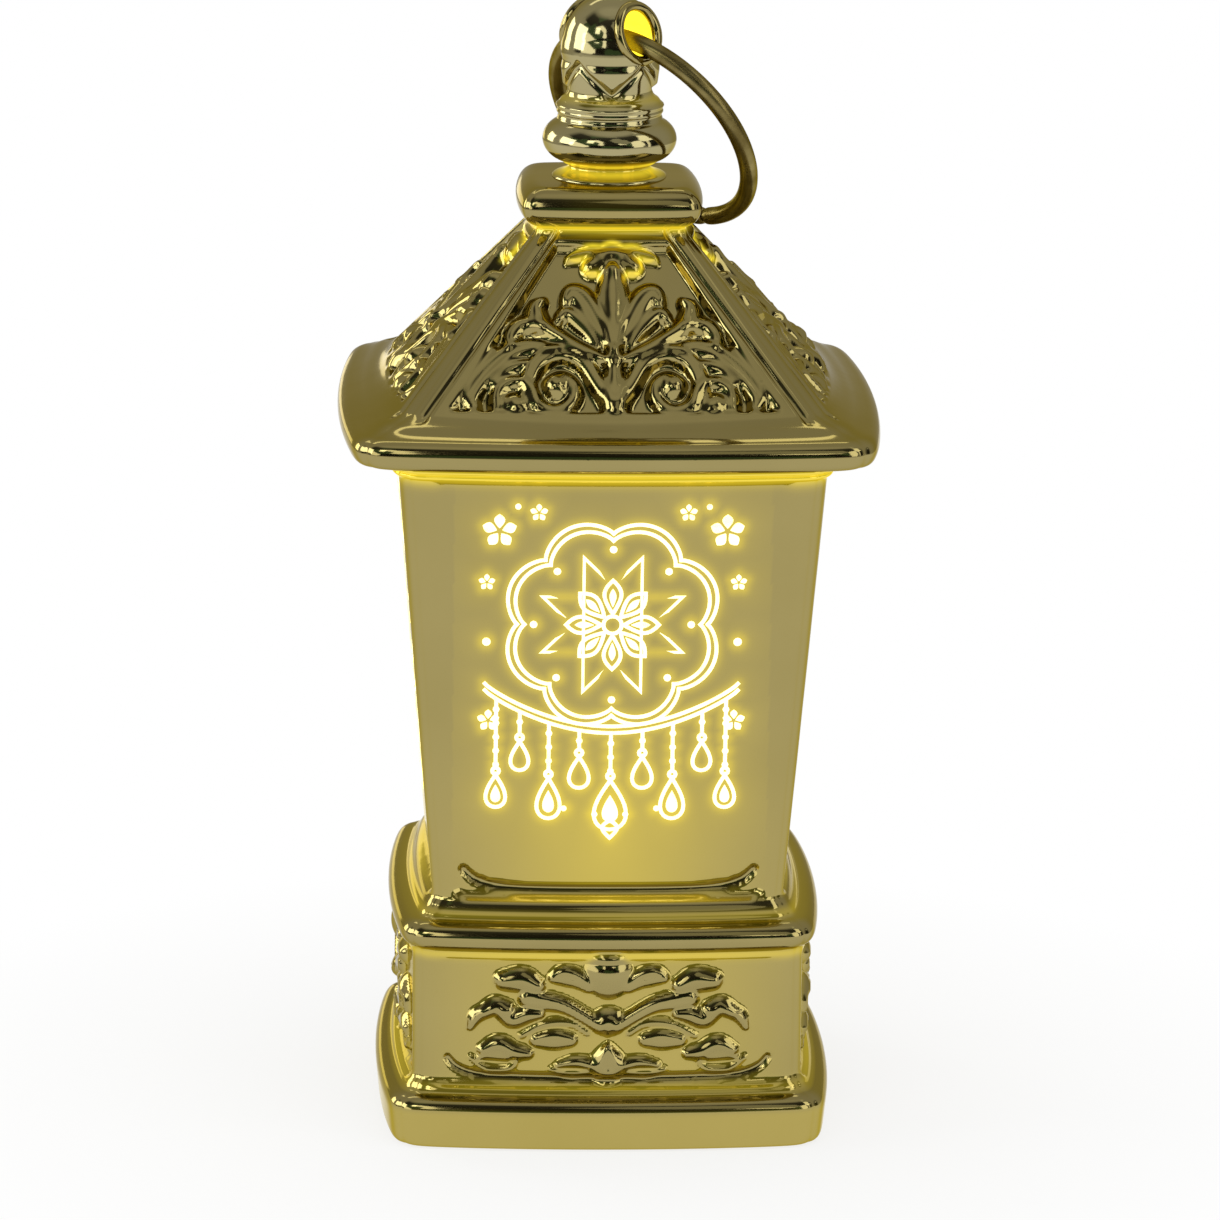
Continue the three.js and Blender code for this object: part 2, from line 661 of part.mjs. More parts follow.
// Moulded tub of the lamp unit: flange, wall, screw pillars, battery compartment, hinge lugs
function lampBase() {
  const tub = joined(
    disc(tubRadius, flangeLift, tubHeight),
    disc(flangeRadius, flangeLift, flangeThickness),
  );
  const hollow = cut(tub, disc(tubRadius - tubWall, tubFloorTop, tubHeight));
  const pillarHeight = tubTop - tubFloorTop + root;
  const pillars = coverScrews.map(([x, y]) =>
    disc(pillarRadius, tubFloorTop - root, pillarHeight, 14).translate(x, y, 0));
  const walls = block(
    rowStart - compartmentWall, rowEnd + compartmentWall,
    cellRowY - rowHalf - compartmentWall, cellRowY + rowHalf + compartmentWall,
    tubFloorTop - root, rowTop + compartmentWall,
  );
  const boss = disc(pillarRadius, tubFloorTop - root, doorScrewTip - tubFloorTop + bossCap, 14)
    .translate(tongueX, cellRowY, 0);
  const lugs = [-1, 1].map((side) => {
    const middle = cellRowY + side * (hingeLength / 2 + fit + lugThickness / 2);
    return block(
      hingeX - hingeRadius, rowStart, middle - lugThickness / 2, middle + lugThickness / 2,
      tubFloorTop - root, hingeZ + hingeRadius,
    );
  });
  const filled = [...pillars, walls, boss, ...lugs].map(solid).reduce((a, b) => a.add(b), hollow);
  const through = flangeLift - past;
  const slotHalf = knobWidth / 2 + fit;
  const switchSlot = block(-switchReach, switchReach, switchY - slotHalf, switchY + slotHalf, through, switchZ);
  return cut(
    filled,
    block(rowStart, rowEnd, cellRowY - rowHalf, cellRowY + rowHalf, through, rowTop),
    block(rowEnd - past, tongueX + tongueWidth / 2 + fit, cellRowY - tongueWidth / 2 - fit,
      cellRowY + tongueWidth / 2 + fit, through, tubFloorTop),
    block(hingeX - hingeRadius - fit, rowStart + past, cellRowY - hingeLength / 2 - fit,
      cellRowY + hingeLength / 2 + fit, through, tubFloorTop),
    alongHinge(hingePinRadius + fit, hingePinLength + 2 * fit),
    disc(screwRadius + fit, tubFloorTop - past, doorScrewTip + fit - tubFloorTop + past, 12)
      .translate(tongueX, cellRowY, 0),
    ...screwHoles(coverScrews, coverScrewTip - fit, tubTop),
    block(plateX - fit, rowEnd, cellRowY - tabHalf - fit, cellRowY + tabHalf + fit, rowTop - past, tabTop),
    block(rowStart, leafX + contactThickness + fit, cellRowY - leafWidth / 2 - fit,
      cellRowY + leafWidth / 2 + fit, rowTop - past, tabTop),
    switchSlot,
  );
}

// Round cover of the tub, with a collar for the diffuser and pillars for the board's screws
function lampCover() {
  const collarInner = diffuserInner + diffuserWall + fit;
  const collar = turned([
    [collarInner, coverZ + root],
    [collarInner + collarWall, coverZ + root],
    [collarInner + collarWall, coverTop + collarHeight],
    [collarInner, coverTop + collarHeight],
    [collarInner, coverZ + root],
  ]);
  const pillarBottom = boardScrewTip - fit - pillarCap;
  const pillars = boardScrews.map(([x, y]) =>
    disc(pillarRadius, pillarBottom, coverZ + root - pillarBottom, 14).translate(x, y, 0));
  return cut(
    joined(disc(tubRadius, coverZ, coverThickness), collar, ...pillars),
    ...screwHoles(coverScrews, coverZ - past, coverThickness + 2 * past),
    ...screwHoles(boardScrews, boardScrewTip - fit, boardZ),
    disc(leadHoleRadius, coverZ - past, coverThickness + 2 * past, 16).translate(0, leadHoleY, 0),
  );
}

// Battery door: a plate with a hinge barrel at one end and a tongue for its screw at the other
function batteryDoor() {
  const top = flangeLift + doorThickness;
  const plateReach = rowHalf - fit;
  const tongueHalf = tongueWidth / 2;
  const barrelHalf = hingeLength / 2;
  const upright = [flangeLift, top];
  return cut(
    joined(
      block(rowStart + fit, rowEnd - fit, cellRowY - plateReach, cellRowY + plateReach, ...upright),
      block(rowEnd - doorRoot, tongueX + tongueHalf, cellRowY - tongueHalf, cellRowY + tongueHalf, ...upright),
      block(hingeX, rowStart + doorRoot, cellRowY - barrelHalf, cellRowY + barrelHalf, ...upright),
      alongHinge(hingeRadius, hingeLength),
    ),
    alongHinge(hingePinRadius + fit, hingeLength + 2 * past),
    ...screwHoles([[tongueX, cellRowY]], flangeLift - past, doorThickness + 2 * past),
    disc(screwHeadRadius + fit, flangeLift - past, doorSeat - flangeLift + past, 14)
      .translate(tongueX, cellRowY, 0),
  );
}

// Slide switch: a box open below, and the slider inside it whose knob comes out of the tub's floor
function switchHousing() {
  const halfLength = switchLength / 2;
  const halfWidth = switchWidth / 2;
  const box = block(
    -halfLength, halfLength, switchY - halfWidth, switchY + halfWidth, switchZ, switchZ + switchHeight,
  );
  return cut(
    solid(box),
    block(-halfLength + switchShell, halfLength - switchShell, switchY - halfWidth + switchShell,
      switchY + halfWidth - switchShell, switchZ + switchShell, switchZ + switchHeight - switchShell),
    block(-switchReach, switchReach, switchY - knobWidth / 2 - fit, switchY + knobWidth / 2 + fit,
      switchZ - past, switchZ + 2 * switchShell),
  );
}

function switchSlider() {
  const middle = -switchTravel / 2;
  const padHalf = switchLength / 2 - switchShell - fit - switchTravel / 2;
  const padZ = switchZ + switchShell + fit;
  const padHalfWidth = switchWidth / 2 - switchShell - fit;
  return joined(
    block(middle - padHalf, middle + padHalf, switchY - padHalfWidth, switchY + padHalfWidth,
      padZ, padZ + sliderPad),
    block(middle - knobLength / 2, middle + knobLength / 2,
      switchY - knobWidth / 2, switchY + knobWidth / 2, flangeLift - knobDrop, padZ + root),
  );
}

// Plate contact at one end of the battery row, with a solder tab that stands through the compartment's roof
function contactPlate() {
  const outline = new THREE.Shape();
  outline.moveTo(-contactHalf, tubFloorTop + fit + contactLift);
  outline.lineTo(contactHalf, tubFloorTop + fit + contactLift);
  outline.lineTo(contactHalf, rowTop - fit);
  outline.lineTo(tabHalf, rowTop - fit);
  outline.lineTo(tabHalf, tabTop);
  outline.lineTo(-tabHalf, tabTop);
  outline.lineTo(-tabHalf, rowTop - fit);
  outline.lineTo(-contactHalf, rowTop - fit);
  const geometry = new THREE.ExtrudeGeometry(outline, { depth: contactThickness, bevelEnabled: false });
  return geometry.rotateX(Math.PI / 2).rotateZ(Math.PI / 2).translate(plateX, cellRowY, 0);
}

// Leaf contact at the other end: a strip bent back on itself, so that it presses on the last cell
function contactLeaf() {
  const half = contactThickness / 2;
  const back = leafX + half;
  const front = rowStart + 2 * fit + contactThickness + leafDepth - fit - half;
  const bottom = tubFloorTop + fit + half + 0.4;
  const path = new THREE.CatmullRomCurve3([
    [back, tabTop], [back, rowTop - 2], [back, bottom + 3], [back + 0.3, bottom + 0.7],
    [back + 1, bottom + 0.2], [back + 1.6, bottom + 1.4], [front - 0.4, cellZ - 2.2], [front, cellZ], [front - 0.5, cellZ + 2.4],
  ].map(([x, z]) => new THREE.Vector3(x, cellRowY, z)));
  const section = new THREE.Shape();
  section.moveTo(-leafWidth / 2, -half);
  section.lineTo(leafWidth / 2, -half);
  section.lineTo(leafWidth / 2, half);
  section.lineTo(-leafWidth / 2, half);
  return new THREE.ExtrudeGeometry(section, { steps: 18, extrudePath: path });
}

const buttonCell = () => turned([
  [0, 0],
  [cellRadius - cellEdge, 0],
  [cellRadius, cellEdge],
  [cellRadius, cellLength - 2 * cellEdge],
  [cellRadius - cellEdge, cellLength - cellEdge],
  [cellRadius - cellCrimp, cellLength - cellEdge],
  [cellRadius - cellCrimp, cellLength],
  [0, cellLength],
], 18).rotateY(Math.PI / 2);

function led() {
  const domeZ = ledHeight - ledRadius;
  return turned([
    [0, 0],
    [ledRadius + ledRim, 0],
    [ledRadius + ledRim, ledRimHeight],
    [ledRadius, ledRimHeight],
    ...arc(0, domeZ, ledRadius, ledRadius, 0, 68, 3),
    [0, ledHeight],
  ], 12);
}

// Axial resistor lying on the board, its wires bent down to it
function resistor() {
  const half = resistorLength / 2;
  const waist = resistorRadius * 0.82;
  const body = turned([
    [0, -half],
    [resistorRadius, -half + resistorWire],
    [resistorRadius, -half + resistorEnd],
    [waist, -half + resistorEnd + resistorShoulder],
    [waist, half - resistorEnd - resistorShoulder],
    [resistorRadius, half - resistorEnd],
    [resistorRadius, half - resistorWire],
    [0, half],
  ], 12).rotateY(Math.PI / 2);
  const reach = half + resistorReach;
  const legs = [-1, 1].map((side) =>
    disc(resistorWire, -resistorRadius, resistorRadius + resistorWire, 8).translate(side * reach, 0, 0));
  const across = disc(resistorWire, -reach - resistorWire, 2 * (reach + resistorWire), 8).rotateY(Math.PI / 2);
  return joined(body, across, ...legs);
}

// Frosted dome over the lights, open below
function diffuser() {
  const outer = diffuserInner + diffuserWall;
  const top = boardZ + diffuserHeight;
  const crown = diffuserInner * 0.6;
  return turned([
    [0, top - diffuserWall],
    ...arc(0, top - diffuserWall - crown, diffuserInner, crown, 75, 0, 4),
    [diffuserInner, boardZ],
    [outer, boardZ],
    ...arc(0, top - diffuserWall - crown, outer, crown + diffuserWall, 0, 75, 4),
    [0, top],
  ]);
}

// Rubber ring that holds the lamp unit in the hole of the ceramic floor
const sealRing = () => {
  const [inner, outer] = [tubRadius + fit, lampHoleRadius - fit];
  const bottom = tubFloorTop + fit;
  return turned([
    [inner, bottom],
    [outer, bottom],
    [outer, bottom + sealHeight - sealChamfer],
    [outer - sealChamfer, bottom + sealHeight],
    [inner, bottom + sealHeight],
    [inner, bottom],
  ], 32);
};

const lead = (points) => wireAlong(
  new THREE.CatmullRomCurve3(points.map(([x, y, z]) => new THREE.Vector3(x, y, z))), leadRadius, 18, 6,
);

addPiece('ceramic_shell', surface(ceramicShell()), plating);
addPiece('hanging_ring', wireAlong(new RingCurve(ringRestSwing()), wireRadius, 48, 8), bronze);

const lampUnit = new THREE.Group();
lantern.add(lampUnit);
const addLampPiece = (name, geometry, look) => addPiece(name, geometry, look, lampUnit);
addLampPiece('lamp_base', surface(lampBase()), whitePlastic);
addLampPiece('lamp_cover', surface(lampCover()), whitePlastic);
addLampPiece('seal_ring', sealRing(), rubberGrey);
coverScrews.forEach(([x, y], i) => {
  addLampPiece(`cover_screw_${i + 1}`, screw(coverScrewLength), steel).position.set(x, y, coverTop + fit);
});

addLampPiece('battery_door', surface(batteryDoor()), whitePlastic);
addLampPiece('door_pin', alongHinge(hingePinRadius, hingePinLength), steel);
const doorScrew = addLampPiece('door_screw', screw(doorScrewLength), steel);
doorScrew.rotation.x = Math.PI;
doorScrew.position.set(tongueX, cellRowY, doorSeat - fit);
for (let i = 0; i < cellCount; i += 1) {
  const x = rowStart + 2 * fit + contactThickness + leafDepth + i * (cellLength + fit);
  addLampPiece(`button_cell_${i + 1}`, buttonCell(), brightNickel).position.set(x, cellRowY, cellZ);
}
addLampPiece('contact_plate', contactPlate(), brightNickel);
addLampPiece('contact_leaf', contactLeaf(), brightNickel);

addLampPiece('switch_housing', surface(switchHousing()), blackPlastic);
addLampPiece('switch_slider', surface(switchSlider()), blackPlastic);

addLampPiece('circuit_board', surface(cut(
  solid(disc(boardRadius, boardZ, boardThickness)),
  ...screwHoles(boardScrews, boardZ - past, boardThickness + 2 * past),
)), boardGreen);
boardScrews.forEach(([x, y], i) => {
  addLampPiece(`board_screw_${i + 1}`, screw(boardScrewLength), steel).position.set(x, y, boardTop + fit);
});
[[1, 1], [-1, 1], [-1, -1], [1, -1]].forEach(([sideX, sideY], i) => {
  addLampPiece(`led_${i + 1}`, led(), ledLens)
    .position.set(sideX * ledOffset, sideY * ledOffset, boardTop + fit);
});
addLampPiece('resistor', surface(resistor()), resistorTan)
  .position.set(0, boardRadius - resistorRadius - resistorInset, boardTop + fit + resistorRadius);
addLampPiece('diffuser', diffuser(), frosted);

const leadEnd = boardZ - fit;
const terminalX = switchLength / 2 - terminalInset;
const terminalZ = switchZ + switchHeight + fit;
addLampPiece('lead_red', lead([
  [plateX + contactThickness / 2, cellRowY, tabTop + fit],
  [plateX + contactThickness / 2, cellRowY, tabTop + fit + 0.4],
  [plateX + contactThickness / 2 - 0.1, cellRowY + 1.6, tabTop + fit + 0.9],
  [plateX - 0.6, cellRowY + rowHalf, tabTop + fit + 0.3],
  [plateX - 2.6, (cellRowY + switchY) / 2 + 3, (tabTop + terminalZ) / 2 + 1],
  [terminalX, switchY - 1, terminalZ + 2.4],
  [terminalX, switchY, terminalZ],
]), redSleeve);
addLampPiece('lead_switch', lead([
  [-terminalX, switchY, terminalZ],
  [-terminalX, switchY - 1, terminalZ + 2.4],
  [-terminalX + 0.4, (cellRowY + switchY) / 2 + 3, (tabTop + terminalZ) / 2 + 1],
  [-terminalX + 2.4, cellRowY + rowHalf, tabTop + fit + 1],
  [leadSpread, leadHoleY + 0.8, tabTop + fit + 2.2],
  [leadSpread, leadHoleY, coverZ + 0.2],
  [leadSpread, leadHoleY, leadEnd],
]), redSleeve);
addLampPiece('lead_black', lead([
  [leafX + contactThickness / 2, cellRowY, tabTop + fit],
  [leafX + contactThickness / 2, cellRowY, tabTop + fit + 0.8],
  [leafX / 2, cellRowY - 0.3, tabTop + fit + 2],
  [-leadSpread - 1, leadHoleY, tabTop + fit + 2.2],
  [-leadSpread, leadHoleY, coverZ + 0.2],
  [-leadSpread, leadHoleY, leadEnd],
]), blackSleeve);

export default lantern;
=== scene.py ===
import math

import bmesh
import bpy
import numpy as np
from mathutils import Matrix, Vector


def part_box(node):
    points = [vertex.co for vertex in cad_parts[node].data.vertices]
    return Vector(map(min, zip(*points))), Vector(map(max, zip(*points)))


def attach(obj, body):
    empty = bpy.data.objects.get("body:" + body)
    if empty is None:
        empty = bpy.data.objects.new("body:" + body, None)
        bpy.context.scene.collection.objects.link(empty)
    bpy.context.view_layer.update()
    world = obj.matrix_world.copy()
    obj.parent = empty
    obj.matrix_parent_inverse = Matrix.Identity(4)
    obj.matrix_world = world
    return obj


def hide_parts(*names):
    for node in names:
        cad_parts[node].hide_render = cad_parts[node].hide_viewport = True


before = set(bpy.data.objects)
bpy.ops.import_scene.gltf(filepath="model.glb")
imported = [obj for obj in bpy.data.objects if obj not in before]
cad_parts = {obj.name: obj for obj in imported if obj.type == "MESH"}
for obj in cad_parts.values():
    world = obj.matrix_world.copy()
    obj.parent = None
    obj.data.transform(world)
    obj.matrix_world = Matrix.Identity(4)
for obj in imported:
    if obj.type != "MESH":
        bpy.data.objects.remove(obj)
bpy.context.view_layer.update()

# Sizes below are in millimetres, as a potter would write them; MM brings them to metres.
MM = 0.001


# The picture
# The lantern fills the picture, seen from a little above its middle and almost square on.
# A long lens stands more than a metre away, tilted by half a degree.
aim_height = 90
camera_distance = 1220.5
turn, tilt, roll = (math.radians(angle) for angle in (2.301, 13.299, 0.617))
backward = Vector((-math.sin(turn) * math.cos(tilt), -math.cos(turn) * math.cos(tilt), math.sin(tilt)))
rightward = Vector((math.cos(turn), -math.sin(turn), 0))
upward = backward.cross(rightward)
image_right = rightward * math.cos(roll) + upward * math.sin(roll)
image_up = upward * math.cos(roll) - rightward * math.sin(roll)

camera_data = bpy.data.cameras.new("camera")
camera_data.lens = 214.31
camera_data.sensor_width = 36
camera_data.shift_x = 0.0042
camera_data.shift_y = -0.0313
camera = bpy.data.objects.new("camera", camera_data)
bpy.context.collection.objects.link(camera)
axes = Matrix((image_right, image_up, backward)).transposed()
place = Vector((0, 0, aim_height * MM)) + backward * camera_distance * MM
camera.matrix_world = Matrix.Translation(place) @ axes.to_4x4()
bpy.context.scene.camera = camera
bpy.context.scene.view_settings.view_transform = "Standard"


# Floor, room and lamps
# A pale round table top that fades into white, so that the lantern keeps its shadow and nothing else shows.
# Polished metal shows its room: white below, a dark line at the horizon, furniture at eye level, a grey ceiling.
def feed(tree, node, feeds):
    """Sets inputs of a node, each to a value, to an output, or to another node's first output in use."""
    for name, source in feeds.items():
        if isinstance(source, bpy.types.Node):
            source = next(output for output in source.outputs if output.enabled)
        if isinstance(source, bpy.types.NodeSocket):
            tree.links.new(source, node.inputs[name])
        else:
            node.inputs[name].default_value = source
    return node


def add_node(tree, kind, feeds=None, **settings):
    node = tree.nodes.new(kind)
    for name, value in settings.items():
        setattr(node, name, value)
    return feed(tree, node, feeds or {})


def add_ramp(tree, factor, stops, hard=False):
    """A ramp of colours; each stop is a share from 0 to 1 and a colour."""
    node = add_node(tree, "ShaderNodeValToRGB", {"Fac": factor})
    node.color_ramp.interpolation = "CONSTANT" if hard else "LINEAR"
    marks = node.color_ramp.elements
    for mark, (position, colour) in zip(marks, (stops[0], stops[-1])):
        mark.position, mark.color = position, (*colour, 1)
    for position, colour in stops[1:-1]:
        marks.new(position).color = (*colour, 1)
    return node


def new_material(name):
    material = bpy.data.materials.new(name)
    material.use_nodes = True
    material.node_tree.nodes.clear()
    return material, material.node_tree


table_radius, table_sink = 900, 0.05
shadow_keep, shadow_reach = 0.22, (35, 140)
table_mesh = bpy.data.meshes.new("table_top")
table_form = bmesh.new()
bmesh.ops.create_circle(table_form, cap_ends=True, segments=96, radius=table_radius * MM)
table_form.to_mesh(table_mesh)
table_form.free()
table_top = bpy.data.objects.new("table_top", table_mesh)
table_top.location.z = -table_sink * MM
bpy.context.collection.objects.link(table_top)
table_white, tree = new_material("table_white")
paper = add_node(tree, "ShaderNodeBsdfDiffuse", {"Color": (0.9, 0.9, 0.89, 1)})
shine = add_node(tree, "ShaderNodeEmission")
where = add_node(tree, "ShaderNodeTexCoord")
reach = add_node(tree, "ShaderNodeVectorMath", {0: where.outputs["Object"]}, operation="LENGTH")
fade = add_node(tree, "ShaderNodeMapRange", {
    "Value": reach, "From Min": shadow_reach[0] * MM, "From Max": shadow_reach[1] * MM,
    "To Min": 1 - shadow_keep, "To Max": 1})
# The shine is for rays that show the background itself, straight or in a mirror or glass
path = add_node(tree, "ShaderNodeLightPath")
seen = path.outputs["Is Camera Ray"]
for kind in ("Is Glossy Ray", "Is Transmission Ray"):
    seen = add_node(tree, "ShaderNodeMath", {0: seen, 1: path.outputs[kind]}, operation="MAXIMUM")
share = add_node(tree, "ShaderNodeMath", {0: fade, 1: seen}, operation="MULTIPLY")
lit = add_node(tree, "ShaderNodeMixShader", {"Fac": share, 1: paper, 2: shine})
from_below = add_node(tree, "ShaderNodeNewGeometry")
see_through = add_node(tree, "ShaderNodeBsdfTransparent")
one_sided = add_node(tree, "ShaderNodeMixShader", {"Fac": from_below.outputs["Backfacing"], 1: lit, 2: see_through})
add_node(tree, "ShaderNodeOutputMaterial", {"Surface": one_sided})
table_mesh.materials.append(table_white)

room = bpy.data.worlds.new("room")
bpy.context.scene.world = room
room.use_nodes = True
tree = room.node_tree
tree.nodes.clear()
direction = add_node(tree, "ShaderNodeTexCoord").outputs["Generated"]
parts = add_node(tree, "ShaderNodeSeparateXYZ", {0: direction})
height = add_node(tree, "ShaderNodeMapRange", {"Value": parts.outputs["Z"], "From Min": -1})
levels = add_ramp(tree, height, [
    (0.40, (0.80, 0.79, 0.76)), (0.445, (0.62, 0.61, 0.58)), (0.465, (0.03, 0.03, 0.03)), (0.58, (0.03, 0.03, 0.03)),
    (0.64, (0.13, 0.13, 0.12)), (0.80, (0.20, 0.20, 0.18)), (0.93, (0.55, 0.54, 0.50)), (1.0, (0.62, 0.61, 0.57))])
furniture = add_node(tree, "ShaderNodeTexVoronoi", {"Scale": 2.4, "Vector": direction}, distance="CHEBYCHEV")
chance = add_node(tree, "ShaderNodeSeparateColor", {0: furniture.outputs["Color"]})
pieces = add_ramp(tree, chance, [
    (0, (0.012, 0.012, 0.012)), (0.44, (0.09, 0.09, 0.07)), (0.56, (0.06, 0.11, 0.06)), (0.68, (0.45, 0.45, 0.40)),
    (0.80, (2.0, 2.0, 1.9))], hard=True)
at_eye_level = add_ramp(tree, height, [
    (0.46, (0, 0, 0)), (0.48, (0.9, 0.9, 0.9)), (0.92, (0.9, 0.9, 0.9)), (0.97, (0, 0, 0))])
furnished = add_node(tree, "ShaderNodeMix", {"Factor": at_eye_level, "A": levels, "B": pieces}, data_type="RGBA")
behind = add_node(tree, "ShaderNodeMapRange", {"Value": parts.outputs["Y"], "From Min": -0.05, "From Max": 0.2})
round_about = add_node(tree, "ShaderNodeMix", {
    "Factor": behind, "A": furnished, "B": (0.50, 0.49, 0.45, 1)}, data_type="RGBA")
dim_room = add_node(tree, "ShaderNodeBackground", {"Color": round_about})
white_room = add_node(tree, "ShaderNodeBackground", {"Color": (1, 1, 1, 1)})
ray = add_node(tree, "ShaderNodeLightPath")
mix = add_node(tree, "ShaderNodeMixShader", {"Fac": ray.outputs["Is Camera Ray"], 1: dim_room, 2: white_room})
add_node(tree, "ShaderNodeOutputWorld", {"Surface": mix})

# Flat lamps that look at the lantern's middle; a radiance of 1 is as bright as white paper in daylight
for name, direction, distance, width, length, radiance, colour in (
    ("window_left", (-0.94, -0.12, 0.32), 1300, 700, 620, 3.4, (0.94, 0.98, 1.0)),
    ("window_right", (0.93, -0.34, 0.22), 1300, 120, 700, 1.5, (1.0, 0.98, 0.92)),
    ("window_front", (-0.52, -0.68, 0.52), 1300, 240, 300, 2.6, (0.96, 1.0, 0.97)),
    ("window_behind", (-0.30, 0.95, -0.02), 1400, 460, 200, 1.5, (1.0, 0.99, 0.96)),
    ("window_back_left", (-0.80, 0.57, 0.20), 1300, 460, 560, 4.2, (0.97, 0.99, 1.0)),
    ("ceiling_strip", (-0.1, 0.62, 0.78), 1300, 900, 150, 1.5, (1.0, 0.99, 0.95)),
    ("soft_fill", (0.15, -0.55, 0.82), 1500, 1200, 1200, 1.35, (1, 1, 1)),
):
    data = bpy.data.lights.new(name, "AREA")
    data.shape = "RECTANGLE"
    data.size = width * MM
    data.size_y = length * MM
    data.energy = radiance * math.pi * width * length * MM * MM
    data.color = colour
    lamp = bpy.data.objects.new(name, data)
    away = Vector(direction).normalized()
    lamp.location = Vector((0, 0, aim_height * MM)) + away * distance * MM
    lamp.rotation_euler = away.to_track_quat("Z", "Y").to_euler()
    lamp.visible_glossy = name != "soft_fill"
    lamp.visible_camera = False
    bpy.context.collection.objects.link(lamp)


# Ceramic tower
# Hollow slip-cast ceramic in one piece: base, plinth, plate, foot, body, eave, roof and cap.
# It is plated in pale gold after firing, so every edge is soft and the low ornament is rounded like glaze.
def arc(half, z, reach, rise, start, end, steps=24):
    angles = np.radians(np.linspace(start, end, steps))
    return list(zip(half + reach * np.cos(angles), z + rise * np.sin(angles)))


base_half, base_low, base_top = 38.3, 37.8, 8.8
plinth_half, plate_z = 34.4, 33.4
plate_half, foot_z, foot_half = 36.2, 38.2, 32.4
body_z, body_low, body_high = 41.0, 31.0, 36.9
cornice_z, eave_z, eave_half = 113.4, 116.8, 45.0
roof_z, roof_low, roof_high = 123.2, 37.8, 13.2
cap_z, cap_half, cap_top = 150.9, 15.5, 157.7
wall = 3.2
floor_low, floor_high, hole_radius, recess_half = 3.2, 6.4, 26.0, 32.0
storey_bow, storey_crispness = 0.067, 20
roof_bow, roof_crispness = 0.10, 26

outside = [
    (recess_half + 0.4, 0.0),
    *arc(base_low - 1.5, 1.5, 1.5, 1.5, -90, 0),
    *arc(base_half - 2.2, base_top - 2.2, 2.2, 2.2, 0, 84),
    (plinth_half + 1.0, base_top + 0.3), (plinth_half + 0.75, base_top + 1.4), (plinth_half, base_top + 2.2),
    (plinth_half, plate_z - 1.0),
    *arc(plate_half - 2.4, plate_z + 2.4, 2.4, 2.4, -70, 84),
    (foot_half + 0.5, foot_z + 0.02),
    *arc(foot_half - 0.2, foot_z + 0.6, 0.7, 0.5, -40, 70),
    (foot_half - 0.6, foot_z + 1.5), (foot_half - 0.6, body_z - 0.6), (body_low, body_z), (body_high, cornice_z),
    *arc(body_high + 0.4, cornice_z + 0.7, 0.6, 0.5, -80, 80),
    *arc(body_high + 1.1, cornice_z + 1.75, 0.6, 0.5, -80, 80),
    *arc(body_high + 2.1, cornice_z + 2.7, 0.7, 0.5, -80, 60),
    *arc(eave_half - 2.2, eave_z + 1.2, 1.9, 1.6, -88, -14),
    (eave_half, eave_z + 1.9), (eave_half - 0.1, eave_z + 2.9), (eave_half - 0.45, eave_z + 3.8),
    *arc(eave_half - 2.6, roof_z - 3.0, 2.0, 1.2, 25, 82),
    (roof_low + 3.4, roof_z - 1.3), (roof_low + 2.4, roof_z - 0.75), (roof_low + 1.0, roof_z - 0.1),
    (roof_low, roof_z + 0.6), (roof_high, cap_z - 0.9), (roof_high - 0.4, cap_z - 0.1),
    *arc(cap_half - 3.4, cap_z + 3.4, 3.4, 3.4, -80, 80),
    (2.0, cap_top),
]
inside = [
    (0.5, cap_top - wall), (roof_high - 4.2, cap_top - wall), (roof_high - 4.2, cap_z), (roof_low - 4.2, roof_z),
    (body_high - wall, eave_z + 3.1), (body_high - wall, cornice_z), (body_low - wall, body_z),
    (plinth_half - wall, plate_z), (plinth_half - wall, floor_high), (hole_radius + 0.4, floor_high),
    (hole_radius, floor_high - 0.4), (hole_radius, floor_low + 0.4), (hole_radius + 0.4, floor_low),
    (recess_half, floor_low), (recess_half, 0.4),
]


def walked(outline, step):
    """Puts points a step apart along an outline, where the step may change with the height."""
    points = np.array(outline)
    lengths = np.hypot(*np.diff(points, axis=0).T)
    along = np.concatenate(([0], np.cumsum(lengths)))
    fine = np.linspace(0, along[-1], int(along[-1] / 0.05))
    half, z = (np.interp(fine, along, points[:, i]) for i in (0, 1))
    pace = np.cumsum(0.05 / np.interp(z, *zip(*step)))
    marks = np.interp(np.arange(pace[0], pace[-1]), pace, fine)
    return np.column_stack((np.interp(marks, fine, half), np.interp(marks, fine, z)))


def softened(points, radius):
    """Rounds the corners of a walked outline, as glaze does."""
    reach = int(math.ceil(2.5 * radius))
    weights = np.exp(-0.5 * (np.arange(-reach, reach + 1) / radius) ** 2)
    weights /= weights.sum()
    padded = np.pad(points, ((reach, reach), (0, 0)), mode="edge")
    return np.column_stack([np.convolve(padded[:, i], weights, mode="valid") for i in (0, 1)])


outer_step = [(0, 0.5), (9, 0.42), (34, 0.42), (42, 0.5), (43, 0.62), (112, 0.62), (114, 0.3), (118, 0.34),
              (124, 0.42), (152, 0.42), (159, 0.5)]
inner_step = [(0, 1.5), (6, 1.5), (12, 4), (160, 5)]
outer_rings = softened(walked(outside, outer_step), 0.9)
inner_rings = walked(inside, inner_step)
rings = np.vstack((inner_rings, outer_rings))
is_outer = np.arange(len(rings)) >= len(inner_rings)


def square_plan(turns, bow, crispness):
    """Points of a square with bowed sides and small round corners, half a width of 1, in these directions."""
    across, deep = np.abs(np.cos(turns)), np.abs(np.sin(turns))
    larger = np.maximum(across, deep)
    share = np.minimum(across, deep) / larger
    reach = (1 - bow * share ** 2) / (1 + share ** crispness) ** (1 / crispness) / larger
    return reach * np.cos(turns), reach * np.sin(turns)


